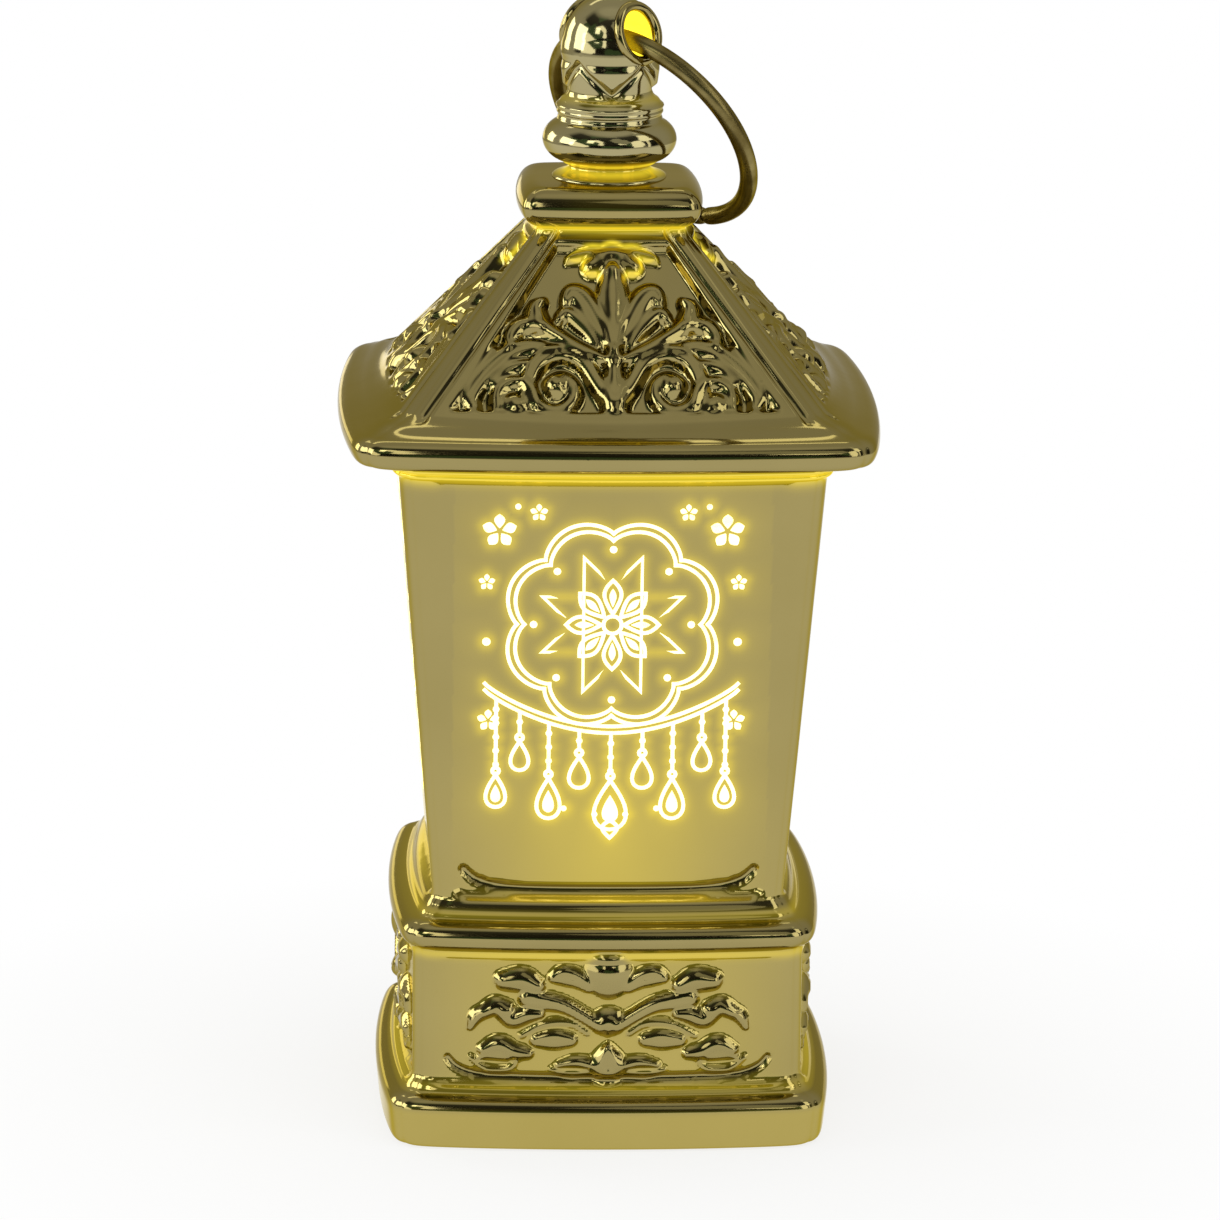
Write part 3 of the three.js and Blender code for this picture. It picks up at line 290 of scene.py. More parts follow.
columns = 640
spin = np.linspace(0, 2 * np.pi, 20000)
rim_length = np.append(0, np.cumsum(np.hypot(*np.diff(square_plan(spin, storey_bow, storey_crispness)))))
angles = np.interp(np.arange(columns) * rim_length[-1] / columns, rim_length, spin)

# The roof bows more than the storeys and has crisper corners; the hole in the floor is round
roof_share = np.interp(rings[:, 1], (roof_z - 0.4, roof_z + 0.8, cap_z - 1.5, cap_z - 0.3), (0, 1, 1, 0))
ring_bow = storey_bow + (roof_bow - storey_bow) * roof_share
ring_crispness = storey_crispness + (roof_crispness - storey_crispness) * roof_share
near_hole = ~is_outer & (rings[:, 1] < floor_high + 0.1) & (rings[:, 0] < recess_half - 1.5)
ring_bow[near_hole], ring_crispness[near_hole] = 0, 2
ring_half, ring_z = rings[:, :1], rings[:, 1:]
plan_x, plan_y = square_plan(angles, ring_bow[:, None], ring_crispness[:, None])
points = np.stack((ring_half * plan_x, ring_half * plan_y, np.repeat(ring_z, columns, axis=1)), axis=-1)

# Each side is worked flat: u runs along it, v up it, and "out" is the way it faces
quarter = np.round((angles + np.pi / 2) / (np.pi / 2)).astype(int) % 4
sides_out = np.array([(0, -1), (1, 0), (0, 1), (-1, 0)])
sides_along = np.array([(1, 0), (0, 1), (-1, 0), (0, -1)])
u = (points[:, :, :2] * sides_along[quarter]).sum(axis=-1)
v = points[:, :, 2]
slope = np.gradient(rings, axis=0)
slope /= np.hypot(slope[:, 0], slope[:, 1])[:, None] + 1e-9


def smooth_step(x):
    x = np.clip(x, 0, 1)
    return x * x * (3 - 2 * x)


def band(values, middle, width):
    return np.exp(-((values - middle) / width) ** 2)


def sunk(zone, low_half, high_half, low, high, depth, side_slope, low_slope, high_slope, corner):
    """Height, below zero, of a sunk panel with rounded lower corners in one zone of the sides."""
    half = low_half + (high_half - low_half) * (v - low) / (high - low)
    from_side = (half - np.abs(u)) / side_slope
    from_low = (v - low) / low_slope
    rounding = corner / side_slope
    inner = rounding - np.hypot(np.maximum(rounding - from_side, 0), np.maximum(rounding - from_low, 0))
    from_low = np.where(from_low < 0, from_low, np.maximum(inner, 0))
    near = np.minimum(np.minimum(from_side, from_low), (high - v) / high_slope)
    return np.where(zone, -depth * smooth_step(near), 0)


on_body = is_outer[:, None] & (v > body_z) & (v < cornice_z)
on_plinth = is_outer[:, None] & (v > base_top) & (v < plate_z)
on_roof = is_outer[:, None] & (v > roof_z) & (v < cap_z)
body_sink, plinth_sink, roof_sink = 1.4, 1.1, 1.9
raised = sunk(on_body, low_half=26.6, high_half=29.8, low=40.9, high=113.2, depth=body_sink,
              side_slope=2.6, low_slope=1.4, high_slope=0.8, corner=3.6)
raised += sunk(on_plinth, low_half=30.0, high_half=30.0, low=9.8, high=32.6, depth=plinth_sink,
               side_slope=6.5, low_slope=1.2, high_slope=1.6, corner=3.6)
roof_panel = sunk(on_roof, low_half=27.6, high_half=9.5, low=124.8, high=149.0, depth=roof_sink,
                  side_slope=1.3, low_slope=1.0, high_slope=0.8, corner=1.2)
raised += roof_panel

# A fine groove runs beside each hip of the roof
hip_groove_depth, hip_groove_inset, hip_groove_width = 0.5, 2.3, 0.4
hip_half = ring_half * (1 - roof_bow) / 2 ** (1 / roof_crispness)
raised -= np.where(on_roof, hip_groove_depth * band(hip_half - np.abs(u), hip_groove_inset, hip_groove_width), 0)


def curve_through(marks, spacing=0.35):
    """A smooth line through its marks; each mark is (u, v, half width) or (x, y, z)."""
    marks = np.array(marks, dtype=float)
    ghost = np.vstack((2 * marks[0] - marks[1], marks, 2 * marks[-1] - marks[-2]))
    line = []
    for a, b, c, d in zip(ghost, ghost[1:], ghost[2:], ghost[3:]):
        steps = max(2, int(np.hypot(*(c - b)[:2]) / spacing))
        t = np.linspace(0, 1, steps, endpoint=False)[:, None]
        curve = (2 * a - 5 * b + 4 * c - d) * t ** 2 + (3 * b - a - 3 * c + d) * t ** 3
        line.append(0.5 * (2 * b + (c - a) * t + curve))
    return np.vstack(line + [marks[-1:]])


def carved(zone, strokes, fullness, spread=1.0, aspect=1.0):
    """Height of an ornament in one zone of the sides: rounded strokes that melt into each other where they meet.
    Each stroke is its marks, its height and the depth of the furrow along it; the strokes are those of one half
    of a side, and the other half is its mirror image. The less the fullness, the steeper their flanks."""
    along, level = np.abs(u[zone]), v[zone]
    total = np.zeros_like(along)
    for marks, rise, furrow in strokes:
        near_u, near_v, width = curve_through(marks).T * np.array((1, 1, spread))[:, None]
        reach = width.max() + 0.2
        picked = (along > near_u.min() - reach) & (along < near_u.max() + reach)
        picked &= (level > near_v.min() - reach * aspect) & (level < near_v.max() + reach * aspect)
        if not picked.any():
            continue
        away = np.hypot(along[picked][:, None] - near_u, (level[picked][:, None] - near_v) / aspect)
        across = (away / np.maximum(width, 0.05)).min(axis=1)
        dome = np.clip(1 - across ** 2, 0, 1) ** fullness * (1 - furrow * np.exp(-(across / 0.3) ** 2))
        total[picked] += (rise * dome) ** 3
    heights = np.zeros_like(u)
    heights[zone] = np.cbrt(total)
    return heights


def glazed(heights):
    """Rounds the creases of an ornament the way a coat of glaze fills them."""
    for axis in (0, 1):
        before, after = (np.roll(heights, shift, axis) for shift in (1, -1))
        heights = 0.25 * before + 0.5 * heights + 0.25 * after
    return heights


roof_ornament = [
    ([(0, 147.5, 0.9), (3.2, 147.9, 1.1), (6.2, 147.4, 0.8), (7.4, 146.8, 0.3)], 1.6, 0),
    ([(0, 147.0, 2.4), (0, 146.0, 2.6)], 2.2, 0.2),
    ([(2.2, 146.8, 1.6), (3.3, 146.0, 1.5)], 2.0, 0),
    ([(0, 145.2, 1.3), (0, 141.8, 2.2), (0, 137.4, 1.7), (0, 133.5, 1.2)], 2.6, 0),
    ([(0, 133.5, 1.2), (0, 130.6, 1.5), (0, 126.7, 1.9), (0, 124.7, 1.5)], 2.7, 0),
    ([(0.6, 134.1, 0.7), (2.4, 137.4, 1.5), (4.8, 141.0, 1.9), (6.6, 142.2, 1.4), (7.6, 141.0, 0.9)], 2.4, 0.3),
    ([(2.6, 134.5, 0.5), (5.2, 137.8, 1.3), (7.6, 139.4, 1.2), (9.0, 138.3, 0.7)], 1.9, 0),
    ([(0.8, 132.4, 0.8), (4.2, 133.7, 1.2), (8.6, 135.7, 1.3), (11.8, 137.6, 1.6), (12.6, 139.8, 1.3),
      (11.6, 140.8, 0.8)], 2.5, 0),
    ([(12.0, 137.1, 1.0), (14.8, 137.6, 1.3), (16.6, 136.1, 1.3), (17.0, 134.1, 0.6)], 2.0, 0),
    ([(1.0, 126.7, 1.0), (3.0, 129.8, 1.2), (5.2, 132.6, 1.3), (8.8, 133.7, 1.35), (12.4, 132.4, 1.35),
      (14.0, 129.2, 1.3), (12.6, 126.5, 1.2), (9.4, 125.6, 1.1), (6.9, 127.1, 1.0), (6.8, 129.2, 1.0),
      (8.6, 130.2, 1.1), (9.8, 129.1, 1.6)], 2.6, 0.25),
    ([(9.6, 129.0, 1.9), (9.4, 128.7, 1.9)], 2.9, 0),
    ([(12.8, 125.9, 0.9), (13.4, 128.3, 1.0), (16.2, 129.6, 1.1), (18.8, 128.3, 1.1), (19.2, 125.7, 0.9)], 2.1, 0),
    ([(16.2, 126.3, 2.2), (16.0, 126.0, 2.2)], 2.7, 0),
    ([(9.6, 134.1, 0.9), (13.2, 134.5, 1.3), (17.2, 133.5, 1.5), (20.8, 130.8, 1.6), (23.4, 127.5, 1.4),
      (22.6, 125.2, 0.7)], 2.3, 0.3),
    ([(14.6, 132.2, 0.8), (17.4, 131.4, 1.2), (19.8, 129.2, 0.8)], 1.8, 0),
    ([(19.4, 134.1, 0.5), (23.2, 130.6, 1.0), (25.8, 126.7, 0.9), (26.0, 125.3, 0.4)], 1.5, 0),
    ([(2.0, 125.0, 0.7), (4.6, 124.7, 0.9), (7.6, 125.0, 0.6)], 1.6, 0),
    ([(18.6, 125.0, 0.6), (21.2, 124.7, 0.7), (23.6, 125.0, 0.5)], 1.4, 0),
]
plinth_ornament = [
    ([(0, 29.6, 3.1), (0, 29.4, 3.1)], 2.4, 0),
    ([(3.2, 27.4, 0.8), (5.2, 28.8, 1.3), (7.4, 29.4, 1.4), (9.2, 29.0, 0.7)], 1.6, 0.3),
    ([(11.8, 27.6, 1.2), (14.4, 28.5, 1.75), (17.4, 28.4, 1.3)], 1.8, 0),
    ([(1.6, 20.8, 1.0), (4.4, 22.6, 1.0), (7.6, 24.3, 1.1), (11.0, 25.0, 1.3), (13.4, 25.4, 1.3)], 2.0, 0.25),
    ([(0, 21.4, 1.9), (0.6, 21.4, 1.8)], 2.2, 0),
    ([(11.4, 22.8, 0.8), (13.6, 22.6, 1.3), (15.8, 21.8, 1.3), (17.4, 22.8, 1.2)], 1.7, 0),
    ([(16.6, 23.6, 1.0), (18.8, 23.9, 1.3), (20.6, 23.0, 1.0)], 1.6, 0),
    ([(19.6, 23.4, 1.0), (21.8, 22.2, 1.0), (22.9, 20.2, 0.5)], 1.5, 0),
    ([(3.4, 19.4, 0.5), (6.2, 21.1, 0.7), (10.6, 20.9, 0.7), (14.4, 18.9, 0.5)], 0.8, 0),
    ([(6.2, 18.3, 1.0), (8.9, 18.4, 1.5), (11.9, 18.2, 1.0)], 1.5, 0.25),
    ([(13.2, 15.9, 0.8), (15.6, 16.2, 1.2), (18.2, 17.3, 1.3), (20.8, 16.4, 0.8)], 1.5, 0),
    ([(16.6, 15.2, 0.6), (19.6, 15.6, 0.8), (21.4, 15.0, 0.4)], 1.0, 0),
    ([(0, 17.4, 0.4), (0, 15.4, 1.6), (0, 13.9, 2.4)], 2.2, 0.3),
    ([(2.4, 13.9, 0.9), (5.2, 14.5, 0.9), (8.4, 14.0, 0.4)], 1.3, 0),
    ([(0, 11.9, 0.6), (3.0, 12.5, 0.6), (6.4, 12.3, 0.6), (9.4, 13.2, 0.4)], 0.8, 0),
    ([(14.8, 15.0, 0.4), (16.4, 13.2, 0.6), (20.0, 13.0, 0.6), (22.8, 15.0, 0.4)], 0.7, 0),
]
# A sill with curled ends runs along the foot of each body side and plinth side
body_sill = [([(0, 42.9, 0.95), (12, 42.95, 0.95), (18.5, 43.3, 0.95), (22.2, 44.4, 0.95), (24.0, 46.0, 0.85)],
              0.85, 0)]
plinth_sill = [([(0, 11.7, 0.8), (14, 11.8, 0.8), (21.5, 12.1, 0.8), (25.0, 13.2, 0.8), (26.6, 14.8, 0.7)], 0.7, 0)]
roof_boldness, plinth_boldness = 0.92, 0.8
roof_lean = (cap_z - roof_z) / math.hypot(cap_z - roof_z, roof_low - roof_high)
roof_relief = glazed(carved(on_roof, roof_ornament, 0.85, spread=1.35, aspect=roof_lean))
plinth_relief = carved(on_plinth, plinth_ornament, 1.0, spread=1.4)
sills = carved(on_body, body_sill, 0.8) + carved(on_plinth, plinth_sill, 0.8)
raised += roof_boldness * roof_relief * -roof_panel / roof_sink
raised += plinth_boldness * plinth_relief - sills
points[:, :, :2] += (slope[:, 1:2] * raised)[:, :, None] * sides_out[quarter]
points[:, :, 2] += -slope[:, 0:1] * raised

# Light from inside comes through the thin plating: on the body over the lamps, in the grooves between the storeys,
# on the plinth between its ornament, on the base, and round the flower at the roof's top
lamp_glow, lamp_top, lamp_fade, lamp_half = 0.2, 82, 36, 19
glow = 0.02 + lamp_glow * smooth_step((lamp_top - ring_z) / lamp_fade) * np.exp(-(u / lamp_half) ** 2)
glow *= (ring_z > body_z) & (ring_z < cornice_z)
for strength, level, width, within in (
    (0.6, cornice_z + 1.0, 1.6, 41), (0.17, foot_z + 0.8, 0.7, eave_half), (0.24, plate_z - 0.6, 0.9, 35.4),
    (0.65, cap_z + 0.1, 0.8, 14.8), (0.12, base_top + 1.0, 1.0, 36),
):
    glow += strength * band(ring_z, level, width) * (ring_half < within)
plinth_glow, base_glow, flower_glow, flower_low = 0.12, 0.11, 0.9, 143.6
glow += plinth_glow * ((ring_z > base_top + 1) & (ring_z < plate_z)) * np.exp(-(u / 30) ** 4)
glow *= band(plinth_relief + 2 * sills, 0, 0.6)
glow += base_glow * smooth_step((base_top - 1.2 - ring_z) / 1.6)
glow += flower_glow * band(roof_relief, 0.9, 0.45) * smooth_step((ring_z - flower_low) / 1.6) * np.exp(-(u / 7.5) ** 4)
glow *= is_outer[:, None]


def add_piece(name, corners, faces, smooth=True):
    mesh = bpy.data.meshes.new(name)
    mesh.from_pydata((np.asarray(corners) * MM).tolist(), [], faces)
    mesh.polygons.foreach_set("use_smooth", [smooth] * len(mesh.polygons))
    piece = bpy.data.objects.new(name, mesh)
    bpy.context.collection.objects.link(piece)
    return piece


def skin(name, grid, ends=None):
    """Builds a closed piece from rings of points, with a point at each end or else joined end to end."""
    count, around = grid.shape[:2]
    index = np.arange(count * around).reshape(count, around)
    rows = index if ends else np.vstack((index, index[:1]))
    after = np.roll(rows, -1, axis=1)
    faces = np.stack((rows[:-1], after[:-1], after[1:], rows[1:]), axis=-1).reshape(-1, 4).tolist()
    corners = grid.reshape(-1, 3)
    if ends:
        corners = np.vstack((corners, ends))
        first, last = count * around, count * around + 1
        faces += [(first, b, a) for a, b in zip(rows[0], after[0])]
        faces += [(last, a, b) for a, b in zip(rows[-1], after[-1])]
    return add_piece(name, corners, faces)


def set_glow(piece, values):
    """Writes how much light comes through at each point; the two end points get none."""
    mesh = piece.data
    through = mesh.attributes.get("glow") or mesh.attributes.new("glow", "FLOAT", "POINT")
    through.data.foreach_set("value", np.append(values.ravel(), (0, 0)).astype(np.float32))


def dress(piece, look, body, node):
    """Gives a piece its material and the body that it rides on, and hides the node that it stands for."""
    piece.data.materials.append(look)
    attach(piece, body)
    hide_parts(node)


def new_group(name, inputs, outputs):
    group = bpy.data.node_groups.new(name, "ShaderNodeTree")
    for label, kind, default in inputs:
        group.interface.new_socket(label, in_out="INPUT", socket_type=kind).default_value = default
    for label, kind in outputs:
        group.interface.new_socket(label, in_out="OUTPUT", socket_type=kind)
    return group, group.nodes.new("NodeGroupInput").outputs, group.nodes.new("NodeGroupOutput")


# Plating: thin metal over glaze, a little wavy, a little cloudy where hands have touched it
surface_outputs = [("Color", "NodeSocketColor"), ("Roughness", "NodeSocketFloat"), ("Height", "NodeSocketFloat")]
plating_group, given, result = new_group("thin_plating", [
    ("Light Tone", "NodeSocketColor", (0.5, 0.4, 0.2, 1)), ("Deep Tone", "NodeSocketColor", (0.4, 0.3, 0.1, 1)),
    ("Wave Size", "NodeSocketFloat", 160.0), ("Wave Height", "NodeSocketFloat", 1.0), ("Haze", "NodeSocketFloat", 0.1),
], surface_outputs)
spot = add_node(plating_group, "ShaderNodeTexCoord").outputs["Object"]
clouds = add_node(plating_group, "ShaderNodeTexNoise", {"Vector": spot, "Scale": 60, "Detail": 4})
tone = add_node(plating_group, "ShaderNodeMix", {
    "Factor": clouds, "A": given["Deep Tone"], "B": given["Light Tone"]}, data_type="RGBA")
haze = add_node(plating_group, "ShaderNodeMath", {0: clouds, 1: 0.05, 2: given["Haze"]}, operation="MULTIPLY_ADD")
waves = add_node(plating_group, "ShaderNodeTexNoise", {"Vector": spot, "Scale": given["Wave Size"], "Detail": 1})
pits = add_node(plating_group, "ShaderNodeTexVoronoi", {"Vector": spot, "Scale": 240})
pit = add_node(plating_group, "ShaderNodeMapRange", {"Value": pits, "From Max": 0.11, "To Min": -0.6, "To Max": 0})
swell = add_node(plating_group, "ShaderNodeMath", {
    0: waves, 1: given["Wave Height"], 2: pit}, operation="MULTIPLY_ADD")
feed(plating_group, result, {"Color": tone, "Roughness": haze, "Height": swell})


def shaded(tree, feeds):
    """Ends a material's tree in the shader of its surface."""
    shader = add_node(tree, "ShaderNodeBsdfPrincipled", feeds)
    add_node(tree, "ShaderNodeOutputMaterial", {"Surface": shader})
    return shader


def coated(name, group, look_feeds, bump_strength, bump_height, shader_feeds):
    """A material whose colour, roughness and fine relief come from a group of nodes."""
    material, tree = new_material(name)
    look = add_node(tree, "ShaderNodeGroup", look_feeds, node_tree=group).outputs
    bump = add_node(tree, "ShaderNodeBump", {
        "Strength": bump_strength, "Distance": bump_height * MM, "Height": look["Height"]})
    shader = shaded(tree, {
        "Base Color": look["Color"], "Roughness": look["Roughness"], "Normal": bump, **shader_feeds})
    return material, tree, shader, look["Color"]


def plated(name, wave_size, wave_height, light, deep):
    """Plating that turns yellower and shines where the glow of its points lets light through."""
    material, tree, shader, metal_tone = coated(name, plating_group, {
        "Light Tone": light, "Deep Tone": deep, "Wave Size": wave_size, "Wave Height": wave_height, "Haze": 0.07,
    }, 1, 0.02, {"Metallic": 1, "Specular Tint": (0.66, 0.58, 0.34, 1), "Emission Strength": 1})
    through = add_node(tree, "ShaderNodeAttribute", attribute_name="glow").outputs["Fac"]
    # Painted glow: the metal's colour is painted yellower where the glow attribute is high, and that glow is painted on
    # as emission
    glow_tint_share = add_node(tree, "ShaderNodeMapRange", {"Value": through, "From Max": 0.6})
    glow_yellowed_tone = add_node(tree, "ShaderNodeMix", {
        "Factor": glow_tint_share, "A": metal_tone, "B": (0.40, 0.30, 0.06, 1)}, data_type="RGBA")
    warm = add_node(tree, "ShaderNodeVectorMath", {0: (0.98, 0.76, 0.035), "Scale": through}, operation="SCALE")
    feed(tree, shader, {"Base Color": glow_yellowed_tone, "Emission Color": warm})
    return material


tower = skin("ceramic_tower", points, ((0, 0, cap_top - wall), (0, 0, cap_top)))
plated_ceramic = plated("plated_ceramic", 150, 1.3, (0.37, 0.305, 0.125, 1), (0.32, 0.262, 0.098, 1))
dress(tower, plated_ceramic, "shell", "ceramic_shell")


# Finial
# Turned knob that crowns the tower: skirt, waist, round bulb, bead, and a ball over four pointed petals.
# It is cast with the tower; the eyelet through its ball has a rolled lip and light comes up inside it.
knob_z, knob_radius = 180.26, 7.9
eyelet_z, eyelet_radius, lip_radius, drill_reach = 182.06, 4.0, 0.85, 15.8
petal_tip_z, petal_notch_z, petal_rise, petal_crease = 172.3, 177.2, 0.6, 0.4
straight_up = np.array((0, 0, 1))
across_eyelet = np.array((1, -1, 0)) / math.sqrt(2)
beside_eyelet = np.array((1, 1, 0)) / math.sqrt(2)

finial_outline = [
    (8.6, cap_top - 2.0), (9.7, cap_top - 0.1), (9.3, cap_top + 0.45), (7.7, cap_top + 0.85), (6.9, cap_top + 1.35),
    (6.6, cap_top + 1.9), (7.5, cap_top + 2.1), (7.9, cap_top + 2.5), *arc(6.4, 163.9, 4.75, 3.8, -68, 64),
    (8.75, 167.9), *arc(7.35, 169.35, 1.6, 1.4, -34, 60), (7.4, 171.2), (7.1, 171.9), (7.35, 174.1), (7.6, 175.9),
    *arc(0, knob_z, knob_radius, knob_radius, -22, 86),
]
finial_rings = softened(walked(finial_outline, [(150, 0.22), (190, 0.22)]), 1.4)
ripple_low, ripple_high, ripple_pitch, ripple_depth = 166.6, 171.8, 1.1, 0.11
ripple_share = smooth_step(finial_rings[:, 1] - ripple_low) * smooth_step(ripple_high - finial_rings[:, 1])
finial_rings[:, 0] += ripple_depth * ripple_share * np.sin(2 * np.pi * finial_rings[:, 1] / ripple_pitch)


def all_round(count):
    """Directions evenly round a circle."""
    return np.arange(count) * 2 * np.pi / count


def spun(reach, level, count):
    """Rings of points round the upright axis; reach and level may change along each ring."""
    around = all_round(count)
    return np.stack((reach * np.cos(around), reach * np.sin(around), level + 0 * around), axis=-1)


# The petals stand out a little over a crease that follows their pointed edge
finial_columns = 160
radius, level = (np.repeat(finial_rings[:, i:i + 1], finial_columns, axis=1) for i in (0, 1))
saw = np.abs(((all_round(finial_columns) + np.pi / 4) / (np.pi / 2)) % 1 * 2 - 1)
petal_edge = petal_tip_z + (petal_notch_z - petal_tip_z) * saw
fade_out = np.clip((knob_z + 1 - level) / 3, 0, 1)
on_neck = (level > 171.3) & (level < knob_z + 1)
radius += np.where(on_neck, petal_rise * smooth_step((level - petal_edge) / 0.9) * fade_out, 0)
radius -= np.where(on_neck, petal_crease * band(level, petal_edge - 0.5, 0.75), 0)
finial = skin("finial", spun(radius, level, finial_columns), ((0, 0, cap_top - 2.0), (0, 0, knob_z + knob_radius)))
set_glow(finial, 0.6 * band(level, cap_top + 1.2, 0.6) + 0.6 * band(level, 160.3, 0.4) * (radius > 7.5)
         + 0.12 * band(level, 171.0, 0.8))


def tube(name, centres, wire, sides=16, closed=False):
    """Sweeps a round section along centres; wire is one radius or one for each centre."""
    centres = np.asarray(centres, dtype=float)
    if closed:
        forward = np.roll(centres, -1, axis=0) - np.roll(centres, 1, axis=0)
    else:
        forward = np.gradient(centres, axis=0)
    forward /= np.linalg.norm(forward, axis=1)[:, None]
    guide = np.cross(forward[0], (0.3, 0.2, 1.0))
    first_side = []
    for heading in forward:
        guide = guide - heading * guide.dot(heading)
        guide /= np.linalg.norm(guide)
        first_side.append(guide)
    first_side = np.array(first_side)
    second_side = np.cross(forward, first_side)
    if closed:
        twist = math.atan2(first_side[-1].dot(second_side[0]), first_side[-1].dot(first_side[0]))
        back_turn = -np.linspace(0, twist, len(centres))[:, None]
        first_side, second_side = (first_side * np.cos(back_turn) + second_side * np.sin(back_turn),
                                   second_side * np.cos(back_turn) - first_side * np.sin(back_turn))
    around = all_round(sides)[:, None]
    section = np.cos(around) * first_side[:, None] + np.sin(around) * second_side[:, None]
    reach = np.broadcast_to(np.asarray(wire, dtype=float), (len(centres),))[:, None, None]
    return skin(name, centres[:, None] + reach * section, None if closed else (centres[0], centres[-1]))


def cut_away(piece, cutter):
    """Takes the form of one piece out of another."""
    modifier = piece.modifiers.new("cut", "BOOLEAN")
    modifier.operation = "DIFFERENCE"
    modifier.solver = "EXACT"
    modifier.object = cutter
    bpy.context.view_layer.update()
    shape = piece.evaluated_get(bpy.context.evaluated_depsgraph_get())
    mesh = bpy.data.meshes.new_from_object(shape)
    piece.modifiers.clear()
    piece.data = mesh
    bpy.data.objects.remove(cutter)


def eyelet_circle(circle_radius, sink):
    """A circle about the eyelet's axis, and how far to each side it comes out of the ball, less a sink."""
    around = all_round(64)
    sideways, rise = circle_radius * np.cos(around), circle_radius * np.sin(around)
    depth = np.sqrt(knob_radius ** 2 - sideways ** 2 - (rise + eyelet_z - knob_z) ** 2) - sink
    return sideways[:, None] * beside_eyelet + (rise[:, None] + eyelet_z) * straight_up, depth[:, None] * across_eyelet


drill_line = eyelet_z * straight_up + drill_reach * np.linspace(-1, 1, 5)[:, None] * across_eyelet
cut_away(finial, tube("drill", drill_line, eyelet_radius, sides=64))
lip_circle, lip_depth = eyelet_circle(eyelet_radius + 0.45, sink=0.1)
for side, label in ((1, "front"), (-1, "back")):
    lip = tube(f"eyelet_lip_{label}", lip_circle + side * lip_depth, lip_radius, closed=True)
    dress(lip, plated_ceramic, "shell", "ceramic_shell")
plated_finial = plated("plated_finial", 170, 2.0, (0.44, 0.385, 0.20, 1), (0.38, 0.33, 0.165, 1))
dress(finial, plated_finial, "shell", "ceramic_shell")

liner_circle, liner_depth = eyelet_circle(eyelet_radius - 0.05, sink=0.6)
liner_back, _ = eyelet_circle(eyelet_radius + 0.35, sink=0.6)
shares = np.linspace(-1, 1, 9)[:, None, None]
liner = skin("eyelet_glow", np.vstack((liner_circle + shares * liner_depth, liner_back - shares * liner_depth)))
lit_glaze, tree = new_material("lit_glaze")
patches = add_node(tree, "ShaderNodeTexNoise", {"Scale": 260})
warmth = add_ramp(tree, patches, [(0.35, (0.90, 0.66, 0.01)), (0.6, (1.0, 0.94, 0.08))])
shaded(tree, {"Base Color": warmth, "Roughness": 0.35, "Emission Color": warmth, "Emission Strength": 1})
dress(liner, lit_glaze, "shell", "ceramic_shell")


# Light lines of the four windows
# A pattern is worn through the plating on each side, so that the lit glaze behind shows as thin bright lines.
# It has a rosette of eight petals in a lobed frame, a bead swag below, and drops that hang on threads.
line_width, line_lift, line_thickness = 0.62, 0.02, 0.05
lines, fills = [], []


def circle_line(centre_u, centre_v, circle_radius, steps):
    t = np.linspace(0, 2 * np.pi, steps + 1)
    return np.column_stack((centre_u + circle_radius * np.cos(t), centre_v + circle_radius * np.sin(t)))


def petal_line(centre_u, centre_v, angle, start, end, width, steps=12):
    """Outline of a pointed petal that grows outwards from a centre."""
    t = np.linspace(0, 1, steps + 1)
    side = width * np.sin(np.pi * t) ** 0.9 * (1 - 0.25 * np.cos(np.pi * t))
    reach = start + (end - start) * t
    axis, normal = np.array((np.cos(angle), np.sin(angle))), np.array((-np.sin(angle), np.cos(angle)))
    one = reach[:, None] * axis + side[:, None] * normal
    other = reach[::-1, None] * axis - side[::-1, None] * normal
    return np.vstack((one, other[1:])) + (centre_u, centre_v)


def blossom(centre_u, centre_v, size):
    """Five filled petals."""
    for k in range(5):
        angle = math.pi / 2 + k * 2 * math.pi / 5
        fills.append(petal_line(centre_u, centre_v, angle, size * 0.16, size, size * 0.3, 8))


def drop(centre_u, top_v, length, width, filled):
    """A hanging drop: its outline with a bead on top and, if filled, a smaller drop inside."""
    t = np.linspace(0, 2 * np.pi, 33)
    side = width * np.sin(t) * np.sin(t / 2) ** 1.2
    fall = top_v - length * (0.5 - 0.5 * np.cos(t))
    lines.append(np.column_stack((centre_u + side, fall)))
    if filled:
        fills.append(np.column_stack((centre_u + side * 0.5, top_v - length * 0.3 - (top_v - fall) * 0.55)))
    lines.append(circle_line(centre_u, top_v + 0.7, 0.55, 12))


# Rosette: two lobed frames, an eight-pointed star, a round centre, petals, and beads at the star's points
rosette_v, rosette_petals, star_radius, bead_circle = 89.0, 8, 12.4, 12.9
t = np.linspace(0, 2 * np.pi, 241)
for frame_radius, swell in ((15.6, 2.4), (14.4, 2.3)):
    reach = frame_radius + swell * np.abs(np.cos(4 * t + np.pi / 2)) ** 0.8
    lines.append(np.column_stack((reach * np.cos(t), rosette_v + reach * np.sin(t))))
star = np.arange(9) * 3 * np.pi / 4 + np.pi / 8
lines.append(np.column_stack((star_radius * np.cos(star), rosette_v + star_radius * np.sin(star))))
lines.append(circle_line(0, rosette_v, 1.5, 16))
for k in range(rosette_petals):
    angle = k * math.pi / 4
    lines.append(petal_line(0, rosette_v, angle, 1.9, 7.6, 1.35))
    fills.append(petal_line(0, rosette_v, angle, 3.0, 6.2, 0.55))
    fills.append(circle_line(bead_circle * math.cos(angle), rosette_v + bead_circle * math.sin(angle), 0.62, 12))

